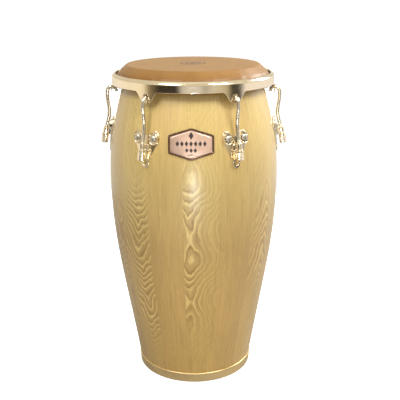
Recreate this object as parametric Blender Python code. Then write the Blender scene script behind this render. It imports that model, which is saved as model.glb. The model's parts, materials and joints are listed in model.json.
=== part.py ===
"""A conga drum: fifteen wooden staves, a hide head under a rim with six ears, and six hooks with nuts.

Metres, +Z up. The drum's axis is the Z axis and the drum stands on z = 0.
An azimuth is measured in degrees from the front (-Y) towards +X, seen from above turning anticlockwise.
Run it with blender --background --python part.py, or from Blender's text editor.
"""

import math

import bmesh
import bpy
import numpy as np
from mathutils import Matrix, Vector

# ---------------------------------------------------------------- driving dimensions
TOTAL_HEIGHT = 0.7112  # 28 inches, floor to playing surface
GAP = 0.0003  # between any two pieces that touch

STAVES = 15
STAVE_PITCH = 360.0 / STAVES  # degrees
FIRST_SEAM = -7.0  # azimuth of the seam left of the front stave
SHELL_WALL = 0.0115
SHELL_FOOT = 0.0048  # height of the wood's lower end, on its rubber
BEARING_ROUND = 0.0045  # how far the bearing edge is rounded, down and in
STAVE_LEVELS = 14  # rows of faces up a stave
OUTER_COLUMNS, INNER_COLUMNS = 4, 3  # faces across a stave
# (height, outer radius) of the shell, joined by one natural cubic spline
SHELL_STATIONS = (
    (0.0, 0.1285),
    (0.18, 0.1590),
    (0.34, 0.1829),
    (0.46, 0.1886),
    (0.57, 0.1799),
    (0.7093, 0.1430),
)

SKIN_THICKNESS = 0.0016
# (radius, height) of the skin from the playing surface's edge down the collar, outside and inside
SKIN_OUTSIDE = (
    (0.1413, 0.7112),
    (0.1443, 0.7106),
    (0.1473, 0.7088),
    (0.1614, 0.6970),
    (0.1646, 0.6925),
    (0.1665, 0.6870),
)
SKIN_INSIDE = (
    (0.1407, 0.7096),
    (0.1433, 0.7090),
    (0.1461, 0.7074),
    (0.1603, 0.6957),
    (0.1630, 0.6915),
    (0.1649, 0.6862),
)
SKIN_LAP = (180, 385)  # angles of the skin's turn under the flesh ring, in the ring's own section
SKIN_LAP_GAP = 0.0005  # from the ring to the skin
FLESH_RING = (0.1706, 0.6730)  # (radius, height) of the steel ring's centre line
FLESH_RING_WIRE = 0.0032  # radius of its section
SKIN_SEGMENTS = 48

RIM_RADIUS = 0.1799  # outside of the rim
RIM_WALL = 0.0030
RIM_TOP, RIM_BOTTOM = 0.6940, 0.6710
RIM_ROLL, RIM_LIP = 0.0085, 0.0020  # radius of the top's bend towards the skin, and how far it runs on
LEDGE_TOP, LEDGE_BOTTOM, LEDGE_RADIUS = 0.6812, 0.6780, 0.1676
RIM_SEGMENTS = 72

LUGS = 6
FIRST_LUG = -32.0  # azimuth of lug 1, left of the front
EAR_DROP = 0.0230  # from the rim's lower edge to the ear's lowest point
EAR_HALF_WIDTH = 0.0140  # radius of the ear's round end
EAR_ROOT = 0.0030  # how far the ear runs up into the rim
EAR_FLARE = ((0.0285, 0.0), (0.0215, -0.0016), (0.0170, -0.0048))  # one side's curve out to the rim
EAR_HOLE_HEIGHT, EAR_HOLE_RADIUS = 0.6610, 0.0057
EAR_HOLE_SIDES = 16

HOOK_PIVOT = (0.1784, EAR_HOLE_HEIGHT)  # (radius, height) where a hook bears in its ear
CROOK_CENTRE, CROOK = (0.1803, 0.6500), (0.00985, 0.0110)  # the bend over the ear, and its half sizes
HOOK_LEG = ((0.1906, 0.6400), (0.1893, 0.6270), (0.1876, 0.6120), (0.1883, 0.5980))  # the bowed leg
ROD_RADIUS = 0.0040
ROD_DEPTH = 0.0153  # from the shell to the rod's axis, at the side plate
ROD_STRAIGHT = (-0.0050, -0.0465)  # both ends of the rod's straight part, in the side plate's frame

PLATE_HEIGHT = 0.5780  # height of the bolts, where the side plate's frame stands
PLATE_THICKNESS = 0.0030
PLATE_NOTCH = 0.0067  # height of the notch between the lobes
BOLT_SPREAD = 0.0190  # from the plate's middle to a bolt
LOBE, LOBE_SWEEP = (0.0105, 0.0160), (150, -55)  # half sizes and arc of the round part at a bolt
TAIL_CENTRE, TAIL, TAIL_SWEEP = -0.0500, (0.0090, 0.0120), (20, -90)
TAIL_OPENING = (0.0045, 0.0065)
BOSS_HEIGHT, BOSS_FOOT, BOSS_TOP = 0.0038, 0.0090, 0.0073  # above the plate, and its two radii
BOSS_ROOT = 0.0020  # how far a boss runs into the plate
WEB_HALF_WIDTH, WEB_HALF_HEIGHT, WEB_ROOT = 0.0045, 0.0067, 0.0010
SLEEVE_TOP, SLEEVE_BOTTOM, SLEEVE_RADIUS = -0.0110, -0.0270, 0.0068
ROD_BORE = 0.0047
NUT_LENGTH, NUT_FLATS, NUT_FLANGE, NUT_FLANGE_HEIGHT = 0.0185, 0.0130, 0.0086, 0.0022

BOLT_RADIUS, BOLT_HOLE = 0.0030, 0.0036
BOLT_HEAD_RADIUS, BOLT_HEAD_HEIGHT, BOLT_HEAD_EDGE = 0.0066, 0.0034, 0.0008
BOLT_TIP = 0.0020  # how far a bolt stands out of its nut
BACKING = (0.0290, 0.0100, 0.0020)  # half width, half height, thickness
BACKING_CORNER = 0.0040
BACKING_SEAT = 0.0012  # clear of the wood's flat facets
BACKING_NUT_FLATS, BACKING_NUT_HEIGHT, BACKING_NUT_ROOT = 0.0100, 0.0052, 0.0008
HOLE_SIDES = 12
CUT = 0.0300  # how far a drill runs each way
# distances between the cuts, round the drum and up it, that let a flat piece be bent
EAR_SLICES, PLATE_SLICES, BACKING_SLICES = (0.0065, 1.0), (0.0095, 0.0160), (0.0095, 1.0)
BADGE_SLICES = (0.0116, 0.0163)

BADGE_AZIMUTH, BADGE_HEIGHT = -1.7, 0.5700
BADGE_HALF_WIDTH, BADGE_HALF_SIDE, BADGE_HALF_POINT = 0.0465, 0.0182, 0.0325
BADGE_BORDER, BADGE_THICKNESS, BADGE_RECESS = 0.0050, 0.0024, 0.0010

FOOT_BAND_TOP, FOOT_BAND_BOTTOM = 0.0234, 0.0012
FOOT_BAND_WALL, FOOT_BAND_TAPER = 0.0014, 0.0016  # its wall, and how much narrower it is at the floor
FOOT_BAND_EDGE = (0.0006, 0.0010)  # chamfer of both edges, in and along
RUBBER = (0.1180, 0.1283)  # inner and outer radius
FOOT_SEGMENTS = 60

# ---------------------------------------------------------------- colours
ASH = ("ash_wood", (0.78, 0.62, 0.38), 0.45, 0.0)
HIDE = ("rawhide", (0.70, 0.50, 0.32), 0.6, 0.0)
GOLD = ("gold_plate", (0.90, 0.78, 0.50), 0.2, 1.0)
STEEL = ("zinc_steel", (0.62, 0.62, 0.60), 0.35, 1.0)
ROSE = ("rose_plate", (0.86, 0.70, 0.58), 0.3, 1.0)
RUBBER_BLACK = ("black_rubber", (0.03, 0.03, 0.03), 0.8, 0.0)


def clear_scene():
    """Removes every object, so that the script can be run again."""
    for thing in list(bpy.data.objects):
        bpy.data.objects.remove(thing, do_unlink=True)


def material(finish):
    """The Principled material of a finish (name, colour, roughness, metallic)."""
    name, colour, roughness, metallic = finish
    found = bpy.data.materials.get(name)
    if found:
        return found
    made = bpy.data.materials.new(name)
    made.use_nodes = True
    shader = made.node_tree.nodes["Principled BSDF"]
    shader.inputs["Base Color"].default_value = (*colour, 1.0)
    shader.inputs["Roughness"].default_value = roughness
    shader.inputs["Metallic"].default_value = metallic
    made.diffuse_color = (*colour, 1.0)
    return made


# ---------------------------------------------------------------- curves
def natural_spline(xs, ys):
    """The natural cubic spline through the points, as a function of x."""
    x, y = np.array(xs), np.array(ys)
    step = np.diff(x)
    system, right = np.eye(len(x)), np.zeros(len(x))
    for i in range(1, len(x) - 1):
        system[i, i - 1 : i + 2] = step[i - 1], 2 * (step[i - 1] + step[i]), step[i]
        right[i] = 6 * ((y[i + 1] - y[i]) / step[i] - (y[i] - y[i - 1]) / step[i - 1])
    bend = np.linalg.solve(system, right)

    def value(at):
        i = int(np.clip(np.searchsorted(x, at) - 1, 0, len(step) - 1))
        h, a, b = step[i], (x[i + 1] - at) / step[i], (at - x[i]) / step[i]
        curve = (a**3 - a) * bend[i] + (b**3 - b) * bend[i + 1]
        return float(a * y[i] + b * y[i + 1] + curve * h * h / 6)

    return value


shell_radius = natural_spline(*zip(*SHELL_STATIONS))
SHELL_TOP = TOTAL_HEIGHT - SKIN_THICKNESS - GAP


def arc(centre, radii, start, end, steps):
    """Points of an elliptical arc between two angles in degrees, both ends included."""
    turns = np.radians(np.linspace(start, end, steps + 1))
    return [(centre[0] + radii[0] * math.cos(t), centre[1] + radii[1] * math.sin(t)) for t in turns]


def circle(centre, radii, sides):
    """Corners of an ellipse, or of a circle where radii is one number."""
    across, along = radii if isinstance(radii, tuple) else (radii, radii)
    return arc(centre, (across, along), 0, 360 - 360 / sides, sides - 1)


def rectangle(half_width, half_height):
    """Corners of a rectangle about the origin."""
    return [(x * half_width, y * half_height) for x, y in ((-1, -1), (1, -1), (1, 1), (-1, 1))]


def mirrored(outline):
    """An outline's right half, from top to bottom, with the left half added."""
    left = [(-x, y) for x, y in reversed(outline) if x > 1e-6]
    return outline + left


# ---------------------------------------------------------------- mesh tools
def new_object(name, bm, finish, frame=None):
    """Turns a bmesh into an object with outward normals, a material and a place."""
    bmesh.ops.recalc_face_normals(bm, faces=bm.faces)
    mesh = bpy.data.meshes.new(name)
    bm.to_mesh(mesh)
    bm.free()
    made = bpy.data.objects.new(name, mesh)
    bpy.context.collection.objects.link(made)
    if finish:
        mesh.materials.append(material(finish))
    if frame is not None:
        made.matrix_world = frame
    return made


def revolved(outline, segments):
    """A closed (radius, height) outline turned about Z, as a bmesh. Points on the axis become one vertex."""
    bm = bmesh.new()
    corners = [bm.verts.new((radius, 0.0, height)) for radius, height in outline]
    pairs = zip(corners, corners[1:] + corners[:1])
    edges = [bm.edges.new(pair) for pair in pairs if pair[0].co.x > 0 or pair[1].co.x > 0]
    bmesh.ops.spin(
        bm,
        geom=corners + edges,
        axis=(0, 0, 1),
        cent=(0, 0, 0),
        angle=2 * math.pi,
        steps=segments,
        use_merge=True,
    )
    bmesh.ops.remove_doubles(bm, verts=bm.verts, dist=1e-6)
    return bm


def prism(outline, bottom, top):
    """A flat outline in XY extruded from z = bottom to z = top, as a bmesh."""
    bm = bmesh.new()
    face = bm.faces.new([bm.verts.new((x, y, bottom)) for x, y in outline])
    raised = bmesh.ops.extrude_face_region(bm, geom=[face])["geom"]
    corners = [v for v in raised if isinstance(v, bmesh.types.BMVert)]
    bmesh.ops.translate(bm, verts=corners, vec=(0, 0, top - bottom))
    return bm


def sliced(bm, pitches):
    """Cuts a bmesh with planes every pitch along X and along Y, so that it can be bent."""
    for axis, pitch in enumerate(pitches):
        reach = max(abs(v.co[axis]) for v in bm.verts)
        normal = Vector((1, 0, 0)) if axis == 0 else Vector((0, 1, 0))
        count = int(reach / pitch) + 1
        for i in range(-count, count + 1):
            everything = bm.verts[:] + bm.edges[:] + bm.faces[:]
            place = normal * i * pitch
            bmesh.ops.bisect_plane(bm, geom=everything, dist=1e-6, plane_co=place, plane_no=normal)
    return bm


def together(*parts):
    """Several bmeshes as one, for one Boolean."""
    whole = bmesh.new()
    for part in parts:
        copy = bpy.data.meshes.new("part")
        part.to_mesh(copy)
        part.free()
        whole.from_mesh(copy)
        bpy.data.meshes.remove(copy)
    return whole


def combine(target, bm, operation, frame=None):
    """Applies one exact Boolean with a bmesh to an object."""
    tool = new_object("tool", bm, None, frame)
    tool.hide_render = True
    tool.display_type = "WIRE"
    modifier = target.modifiers.new(operation.lower(), "BOOLEAN")
    modifier.operation = operation
    modifier.solver = "EXACT"
    modifier.object = tool
    bpy.context.view_layer.update()
    made = bpy.data.meshes.new_from_object(target.evaluated_get(bpy.context.evaluated_depsgraph_get()))
    target.modifiers.remove(modifier)
    old, target.data = target.data, made
    bpy.data.meshes.remove(old)
    bpy.data.objects.remove(tool, do_unlink=True)
    made.name = target.name


# ---------------------------------------------------------------- places
def radial_frame(azimuth, height=0.0, radius=0.0):
    """A frame whose X runs round the drum, Y up and Z outwards, at an azimuth, height and radius."""
    turn = math.radians(azimuth)
    around = Vector((math.cos(turn), math.sin(turn), 0))
    outward = Vector((math.sin(turn), -math.cos(turn), 0))
    frame = Matrix((around, (0, 0, 1), outward)).transposed().to_4x4()
    frame.translation = outward * radius + Vector((0, 0, height))
    return frame


def shell_frame(azimuth, height):
    """As radial_frame, but lying on the shell: Y runs up the shell and Z is its outward normal."""
    step = 1e-4
    slope = (shell_radius(height + step) - shell_radius(height - step)) / (2 * step)
    return radial_frame(azimuth, height, shell_radius(height)) @ Matrix.Rotation(-math.atan(-slope), 4, "X")


def depth_on_shell(frame, x, y, inset=0.0):
    """How far along a frame's Z the shell lies at (x, y), or its inside with inset the wall's thickness."""
    outward = frame.to_3x3() @ Vector((0, 0, 1))
    depth = 0.0
    for _ in range(6):
        point = frame @ Vector((x, y, depth))
        short = shell_radius(point.z) - inset - math.hypot(point.x, point.y)
        depth += short * math.hypot(outward.x, outward.y)
    return depth


def draped(bm, frame, inset=0.0):
    """Bends a flat bmesh in a shell frame on to the shell, its z = 0 on the surface."""
    for vertex in bm.verts:
        vertex.co.z += depth_on_shell(frame, vertex.co.x, vertex.co.y, inset)
    return bm


def lug_azimuths():
    """The lug number and azimuth of each tension rod."""
    return [(k + 1, FIRST_LUG + k * 360.0 / LUGS) for k in range(LUGS)]


# ---------------------------------------------------------------- shell
def stave_mesh():
    """One stave about azimuth 0, its seams parallel to the radius and half a gap short of it."""
    half = math.radians(STAVE_PITCH / 2)
    bm = bmesh.new()

    def row(radius, height, columns):
        reach = half - math.asin(GAP / 2 / radius)
        turns = np.linspace(-reach, reach, columns + 1)
        return [bm.verts.new((radius * math.sin(t), -radius * math.cos(t), height)) for t in turns]

    def loop(height, inset):
        outer = row(shell_radius(height) - inset, height, OUTER_COLUMNS)
        return outer + row(shell_radius(height) - SHELL_WALL, height, INNER_COLUMNS)[::-1]

    shoulder = SHELL_TOP - BEARING_ROUND
    loops = [loop(z, 0.0) for z in np.linspace(SHELL_FOOT, shoulder, STAVE_LEVELS + 1)]
    loops.append(loop(SHELL_TOP, BEARING_ROUND))
    for low, high in zip(loops, loops[1:]):
        for i in range(len(low)):
            j = (i + 1) % len(low)
            bm.faces.new((low[i], low[j], high[j], high[i]))
    bm.faces.new(loops[0])
    bm.faces.new(loops[-1])
    return bm


def build_staves():
    """The fifteen staves, with the side plates' bolt holes cut through them."""
    holes = []
    for _, azimuth in lug_azimuths():
        frame = shell_frame(azimuth, PLATE_HEIGHT)
        for side in (-1, 1):
            hole = prism(circle((side * BOLT_SPREAD, 0), BOLT_HOLE, HOLE_SIDES), -CUT, CUT)
            place = frame @ Vector((side * BOLT_SPREAD, 0, 0))
            turn = math.degrees(math.atan2(place.x, -place.y))
            holes.append((turn, hole, frame))
    for k in range(STAVES):
        middle = FIRST_SEAM + (k + 0.5) * STAVE_PITCH
        stave = new_object(f"stave_{k + 1:02d}", stave_mesh(), ASH)
        stave.rotation_euler.z = math.radians(middle)
        bpy.context.view_layer.update()
        for turn, hole, frame in holes:
            off = (turn - middle + 180) % 360 - 180
            if abs(off) < STAVE_PITCH / 2:
                combine(stave, hole, "DIFFERENCE", frame)


def build_foot():
    """The plated band round the foot and the rubber ring under the wood."""
    low, high = FOOT_BAND_BOTTOM, FOOT_BAND_TOP
    edge_in, edge_along = FOOT_BAND_EDGE
    inner = [(max(shell_radius(z), RUBBER[1]) + GAP, z) for z in (low, high)]
    outer_high = shell_radius(high) + GAP + FOOT_BAND_WALL
    outer_low = outer_high - FOOT_BAND_TAPER
    band = inner + [(outer_high - edge_in, high), (outer_high, high - edge_along)]
    band += [(outer_low, low + edge_along), (outer_low - edge_in, low)]
    new_object("foot_band", revolved(band, FOOT_SEGMENTS), GOLD)
    top = SHELL_FOOT - GAP
    section = [(RUBBER[0], 0.0), (RUBBER[1], 0.0), (RUBBER[1], top), (RUBBER[0], top)]
    new_object("foot_rubber", revolved(section, FOOT_SEGMENTS), RUBBER_BLACK)


# ---------------------------------------------------------------- head
def skin_section():
    """The skin's closed section: playing surface, sloping collar, and the lap under the flesh ring."""
    lap = FLESH_RING_WIRE + SKIN_LAP_GAP
    outside, inside = (
        [*side, *arc(FLESH_RING, (reach, reach), *SKIN_LAP, 6)]
        for side, reach in ((SKIN_OUTSIDE, lap), (SKIN_INSIDE, lap + SKIN_THICKNESS))
    )
    return [(0.0, TOTAL_HEIGHT)] + outside + inside[::-1] + [(0.0, TOTAL_HEIGHT - SKIN_THICKNESS)]


def ear_mesh():
    """One ear, in a frame with X round the rim and Y up from the rim's lower edge, bent to the rim."""
    end = arc((0.0, EAR_HALF_WIDTH - EAR_DROP), (EAR_HALF_WIDTH,) * 2, 0, -90, 6)
    outline = mirrored([(0.0, EAR_ROOT), (EAR_FLARE[0][0], EAR_ROOT), *EAR_FLARE, *end])
    bm = sliced(prism(outline, GAP, RIM_WALL - GAP), EAR_SLICES)
    inside = RIM_RADIUS - RIM_WALL
    for vertex in bm.verts:
        turn, radius = vertex.co.x / inside, inside + vertex.co.z
        vertex.co = Vector((radius * math.sin(turn), vertex.co.y, radius * math.cos(turn)))
    return bm


def build_head():
    """The skin, the flesh ring that it laps, and the rim with its six ears."""
    new_object("head_skin", revolved(skin_section(), SKIN_SEGMENTS), HIDE)
    new_object("flesh_ring", revolved(circle(FLESH_RING, FLESH_RING_WIRE, 8), SKIN_SEGMENTS), STEEL)
    outer, inner = RIM_RADIUS, RIM_RADIUS - RIM_WALL
    bend = (outer - RIM_ROLL, RIM_TOP - RIM_ROLL)
    section = arc(bend, (RIM_ROLL,) * 2, 0, 90, 5)
    section += [(bend[0] - RIM_LIP, RIM_TOP), (bend[0] - RIM_LIP, RIM_TOP - RIM_WALL)]
    section += arc(bend, (RIM_ROLL - RIM_WALL,) * 2, 90, 0, 3)
    section += [(inner, LEDGE_TOP), (LEDGE_RADIUS, LEDGE_TOP), (LEDGE_RADIUS, LEDGE_BOTTOM)]
    section += [(inner, LEDGE_BOTTOM), (inner, RIM_BOTTOM), (outer, RIM_BOTTOM)]
    rim = new_object("rim", revolved(section, RIM_SEGMENTS), GOLD)
    for _, azimuth in lug_azimuths():
        combine(rim, ear_mesh(), "UNION", radial_frame(azimuth, RIM_BOTTOM))
    for _, azimuth in lug_azimuths():
        hole = prism(circle((0, 0), EAR_HOLE_RADIUS, EAR_HOLE_SIDES), RIM_RADIUS - CUT, RIM_RADIUS + CUT)
        combine(rim, hole, "DIFFERENCE", radial_frame(azimuth, EAR_HOLE_HEIGHT))


# ---------------------------------------------------------------- tension hardware
def plate_outline():
    """The side plate's flat outline: two lobes that run together into a tail."""
    lobe = arc((BOLT_SPREAD, 0.0), LOBE, *LOBE_SWEEP, 8)
    tail = arc((0.0, TAIL_CENTRE), TAIL, *TAIL_SWEEP, 5)
    return mirrored([(0.0, PLATE_NOTCH)] + lobe + tail)


def bolt_drills():
    """The two drills of a side plate's bolts, as one bmesh."""
    return together(*(prism(circle((s * BOLT_SPREAD, 0), BOLT_HOLE, HOLE_SIDES), -CUT, CUT) for s in (-1, 1)))


def build_side_plate(number, azimuth):
    """One side plate on the shell: plate, bosses, sleeve on its web, and the openings through them."""
    frame = shell_frame(azimuth, PLATE_HEIGHT)
    plate = draped(sliced(prism(plate_outline(), GAP, PLATE_THICKNESS), PLATE_SLICES), frame)
    made = new_object(f"side_plate_{number}", plate, GOLD, frame)
    low, high = PLATE_THICKNESS - BOSS_ROOT, PLATE_THICKNESS + BOSS_HEIGHT
    boss = [(0.0, low), (BOSS_FOOT, low), (BOSS_TOP, high), (0.0, high)]
    for side in (-1, 1):
        place = frame @ Matrix.Translation((side * BOLT_SPREAD, 0, 0))
        combine(made, revolved(boss, HOLE_SIDES), "UNION", place)
    middle, length = (SLEEVE_TOP + SLEEVE_BOTTOM) / 2, SLEEVE_TOP - SLEEVE_BOTTOM
    web = [(x, middle + y) for x, y in rectangle(WEB_HALF_WIDTH, WEB_HALF_HEIGHT)]
    combine(made, prism(web, WEB_ROOT, ROD_DEPTH), "UNION", frame)
    rod_axis = frame @ Matrix.Translation((0, middle, ROD_DEPTH)) @ Matrix.Rotation(-math.pi / 2, 4, "X")
    sleeve = prism(circle((0, 0), SLEEVE_RADIUS, HOLE_SIDES), -length / 2, length / 2)
    combine(made, sleeve, "UNION", rod_axis)
    combine(made, prism(circle((0, 0), ROD_BORE, HOLE_SIDES), -length, length), "DIFFERENCE", rod_axis)
    opening = prism(circle((0, TAIL_CENTRE), TAIL_OPENING, HOLE_SIDES), -CUT, CUT)
    combine(made, together(bolt_drills(), opening), "DIFFERENCE", frame)


def build_bolts(number, azimuth):
    """The two carriage bolts of a side plate and the backing plate with their nuts."""
    frame = shell_frame(azimuth, PLATE_HEIGHT)
    half_width, half_height, thickness = BACKING
    back = depth_on_shell(frame, BOLT_SPREAD, 0.0, SHELL_WALL) - BACKING_SEAT - thickness
    seat = PLATE_THICKNESS + BOSS_HEIGHT + GAP
    tip = back - BACKING_NUT_HEIGHT - BOLT_TIP
    dome = arc((0.0, seat + BOLT_HEAD_EDGE), (BOLT_HEAD_RADIUS, BOLT_HEAD_HEIGHT - BOLT_HEAD_EDGE), 0, 90, 3)
    outline = [(0.0, tip), (BOLT_RADIUS, tip), (BOLT_RADIUS, seat), (BOLT_HEAD_RADIUS, seat)]
    outline += dome[:-1] + [(0.0, seat + BOLT_HEAD_HEIGHT)]
    for side, letter in ((-1, "a"), (1, "b")):
        place = frame @ Matrix.Translation((side * BOLT_SPREAD, 0, 0))
        new_object(f"bolt_{number}{letter}", revolved(outline, 10), STEEL, place)

    corner = (BACKING_CORNER,) * 2
    right, top = half_width - BACKING_CORNER, half_height - BACKING_CORNER
    outline = [(0.0, half_height), *arc((right, top), corner, 90, 0, 3)]
    outline += [*arc((right, -top), corner, 0, -90, 3), (0.0, -half_height)]
    strap = sliced(prism(mirrored(outline), -BACKING_SEAT - thickness, -BACKING_SEAT), BACKING_SLICES)
    made = new_object(f"backing_plate_{number}", draped(strap, frame, SHELL_WALL), STEEL, frame)
    for side in (-1, 1):
        hexagon = circle((side * BOLT_SPREAD, 0), BACKING_NUT_FLATS / math.sqrt(3), 6)
        combine(made, prism(hexagon, back - BACKING_NUT_HEIGHT, back + BACKING_NUT_ROOT), "UNION", frame)
    combine(made, bolt_drills(), "DIFFERENCE", frame)


def rod_line():
    """Two points (radius, height) of a rod's straight lower part: its upper and its lower end."""
    frame = shell_frame(0.0, PLATE_HEIGHT)
    points = [frame @ Vector((0, along, ROD_DEPTH)) for along in ROD_STRAIGHT]
    return [(-p.y, p.z) for p in points]


def hook_points():
    """(radius, height) points of a hook: tip inside the ear, crook, gently bowed leg, straight end."""
    crook = arc(CROOK_CENTRE, CROOK, 180, 0, 12)
    start, end = rod_line()
    leg = [crook[-1], *HOOK_LEG, start]
    along = np.concatenate([[0], np.cumsum([math.dist(a, b) for a, b in zip(leg, leg[1:])])])
    radius, height = (natural_spline(along, [p[i] for p in leg]) for i in (0, 1))
    bowed = [(radius(t), height(t)) for t in np.linspace(0, along[-1], 13)[1:]]
    return crook + bowed + [end]


def build_hook(number, azimuth):
    """One tension hook, its origin on the pivot in the ear's hole."""
    curve = bpy.data.curves.new(f"hook_{number}", "CURVE")
    curve.dimensions = "3D"
    curve.bevel_depth = ROD_RADIUS
    curve.bevel_resolution = 2
    curve.use_fill_caps = True
    points = hook_points()
    spline = curve.splines.new("POLY")
    spline.points.add(len(points) - 1)
    for point, (radius, height) in zip(spline.points, points):
        point.co = (0.0, height - HOOK_PIVOT[1], radius - HOOK_PIVOT[0], 1.0)
    curve.materials.append(material(GOLD))
    made = bpy.data.objects.new(f"hook_{number}", curve)
    bpy.context.collection.objects.link(made)
    made.matrix_world = radial_frame(azimuth, HOOK_PIVOT[1], HOOK_PIVOT[0])


def build_nut(number, azimuth):
    """One tension nut: a long hexagon under a round flange, its origin and its Z on the rod's axis."""
    half = NUT_LENGTH / 2
    middle = SLEEVE_BOTTOM - GAP - half
    place = shell_frame(azimuth, PLATE_HEIGHT) @ Matrix.Translation((0, middle, ROD_DEPTH))
    place = place @ Matrix.Rotation(-math.pi / 2, 4, "X")
    hexagon = prism(circle((0, 0), NUT_FLATS / math.sqrt(3), 6), -half, half - NUT_FLANGE_HEIGHT / 2)
    made = new_object(f"tuning_nut_{number}", hexagon, GOLD, place)
    flange = prism(circle((0, 0), NUT_FLANGE, 16), half - NUT_FLANGE_HEIGHT, half)
    combine(made, flange, "UNION", place)
    combine(made, prism(circle((0, 0), ROD_BORE, HOLE_SIDES), -NUT_LENGTH, NUT_LENGTH), "DIFFERENCE", place)


# ---------------------------------------------------------------- badge
def build_badge():
    """The six-sided badge, bent to the shell, with a raised border round a sunken field."""
    frame = shell_frame(BADGE_AZIMUTH, BADGE_HEIGHT)
    half, side, point = BADGE_HALF_WIDTH, BADGE_HALF_SIDE, BADGE_HALF_POINT
    outline = [(0, point), (half, side), (half, -side), (0, -point), (-half, -side), (-half, side)]
    bm = prism(outline, GAP, BADGE_THICKNESS)
    bm.faces.ensure_lookup_table()
    face = max(bm.faces, key=lambda f: f.calc_center_median().z)
    bmesh.ops.inset_region(bm, faces=[face], thickness=BADGE_BORDER, use_even_offset=True)
    bmesh.ops.translate(bm, verts=face.verts, vec=(0, 0, -BADGE_RECESS))
    new_object("badge", draped(sliced(bm, BADGE_SLICES), frame), ROSE, frame)


def main():
    clear_scene()
    build_staves()
    build_foot()
    build_head()
    build_badge()
    for number, azimuth in lug_azimuths():
        build_side_plate(number, azimuth)
        build_bolts(number, azimuth)
        build_hook(number, azimuth)
        build_nut(number, azimuth)


if __name__ == "__main__":
    main()
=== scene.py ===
"""Conga drum: bowed ash staves and a hide head under a plated rim, drawn down by six hooks and nuts.

Metres, +Z up, the drum's axis on Z and its foot on z = 0. An azimuth runs from the front (-Y) towards +X.
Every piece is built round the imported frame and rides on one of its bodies.
"""

import json
import math

import bmesh
import bpy
import numpy as np
from bpy.props import FloatProperty, FloatVectorProperty, IntProperty, PointerProperty
from mathutils import Matrix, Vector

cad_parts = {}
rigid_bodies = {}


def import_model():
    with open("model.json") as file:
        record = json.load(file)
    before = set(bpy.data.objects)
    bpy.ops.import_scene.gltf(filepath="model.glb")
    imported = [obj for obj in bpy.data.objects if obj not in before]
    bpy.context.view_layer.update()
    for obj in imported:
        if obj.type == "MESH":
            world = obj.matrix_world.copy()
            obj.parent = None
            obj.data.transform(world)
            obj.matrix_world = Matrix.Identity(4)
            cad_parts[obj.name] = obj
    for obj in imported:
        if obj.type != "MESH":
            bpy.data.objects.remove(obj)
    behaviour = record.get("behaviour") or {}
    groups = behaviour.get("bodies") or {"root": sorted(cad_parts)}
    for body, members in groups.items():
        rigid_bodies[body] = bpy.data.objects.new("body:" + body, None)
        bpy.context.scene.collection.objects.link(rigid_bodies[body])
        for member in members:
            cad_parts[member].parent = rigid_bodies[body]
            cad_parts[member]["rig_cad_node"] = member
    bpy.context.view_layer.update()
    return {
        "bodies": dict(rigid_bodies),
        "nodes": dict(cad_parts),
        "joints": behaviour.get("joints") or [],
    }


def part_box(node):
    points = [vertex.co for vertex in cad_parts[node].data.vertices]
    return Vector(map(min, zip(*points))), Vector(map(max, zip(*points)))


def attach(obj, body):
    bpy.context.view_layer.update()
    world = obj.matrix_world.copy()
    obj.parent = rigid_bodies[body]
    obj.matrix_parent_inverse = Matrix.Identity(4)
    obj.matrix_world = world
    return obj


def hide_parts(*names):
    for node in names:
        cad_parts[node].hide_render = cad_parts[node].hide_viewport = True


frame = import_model()

bl_info = {
    "name": "Conga Drum",
    "version": (1, 0, 0),
    "blender": (4, 5, 0),
    "location": "View3D > Sidebar > Conga",
    "description": "Builds a stave conga drum, piece by piece, round its packed frame",
    "category": "Add Mesh",
}

TURN = 2 * np.pi


# ---------------------------------------------------------------- numbers and colours
def linear(code):
    """An sRGB hex colour as linear RGB: c / 12.92 below 0.04045, else ((c + 0.055) / 1.055) ** 2.4."""
    levels = np.array([int(code[i : i + 2], 16) for i in (1, 3, 5)]) / 255
    low, high = levels / 12.92, ((levels + 0.055) / 1.055) ** 2.4
    return tuple(float(c) for c in np.where(levels < 0.04045, low, high))


def smooth(t):
    """Smooth step of t from 0 to 1: t^2 (3 - 2 t), flat outside."""
    t = np.clip(t, 0, 1)
    return t * t * (3 - 2 * t)


def quarter(t):
    """A quarter circle's rise: sqrt(1 - (1 - t)^2) for t from 0 to 1, 1 after it."""
    return np.sqrt(1 - (1 - np.clip(t, 0, 1)) ** 2)


def natural_spline(x, y):
    """The natural cubic spline through (x, y), as a function of an array.

    Between two knots a step h apart, with b the share of the way and a = 1 - b,
    y = a y0 + b y1 + ((a^3 - a) m0 + (b^3 - b) m1) h^2 / 6, and m solves the usual three-term system.
    """
    x, y = np.asarray(x, float), np.asarray(y, float)
    step = np.diff(x)
    system, right = np.eye(len(x)), np.zeros(len(x))
    inner = np.arange(1, len(x) - 1)
    system[inner, inner - 1], system[inner, inner + 1] = step[:-1], step[1:]
    system[inner, inner] = 2 * (step[:-1] + step[1:])
    right[inner] = 6 * (np.diff(y)[1:] / step[1:] - np.diff(y)[:-1] / step[:-1])
    bend = np.linalg.solve(system, right)

    def value(at):
        at = np.asarray(at, float)
        i = np.clip(np.searchsorted(x, at) - 1, 0, len(step) - 1)
        h = step[i]
        b = (at - x[i]) / h
        a = 1 - b
        curve = (a**3 - a) * bend[i] + (b**3 - b) * bend[i + 1]
        return a * y[i] + b * y[i + 1] + curve * h * h / 6

    return value


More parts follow.
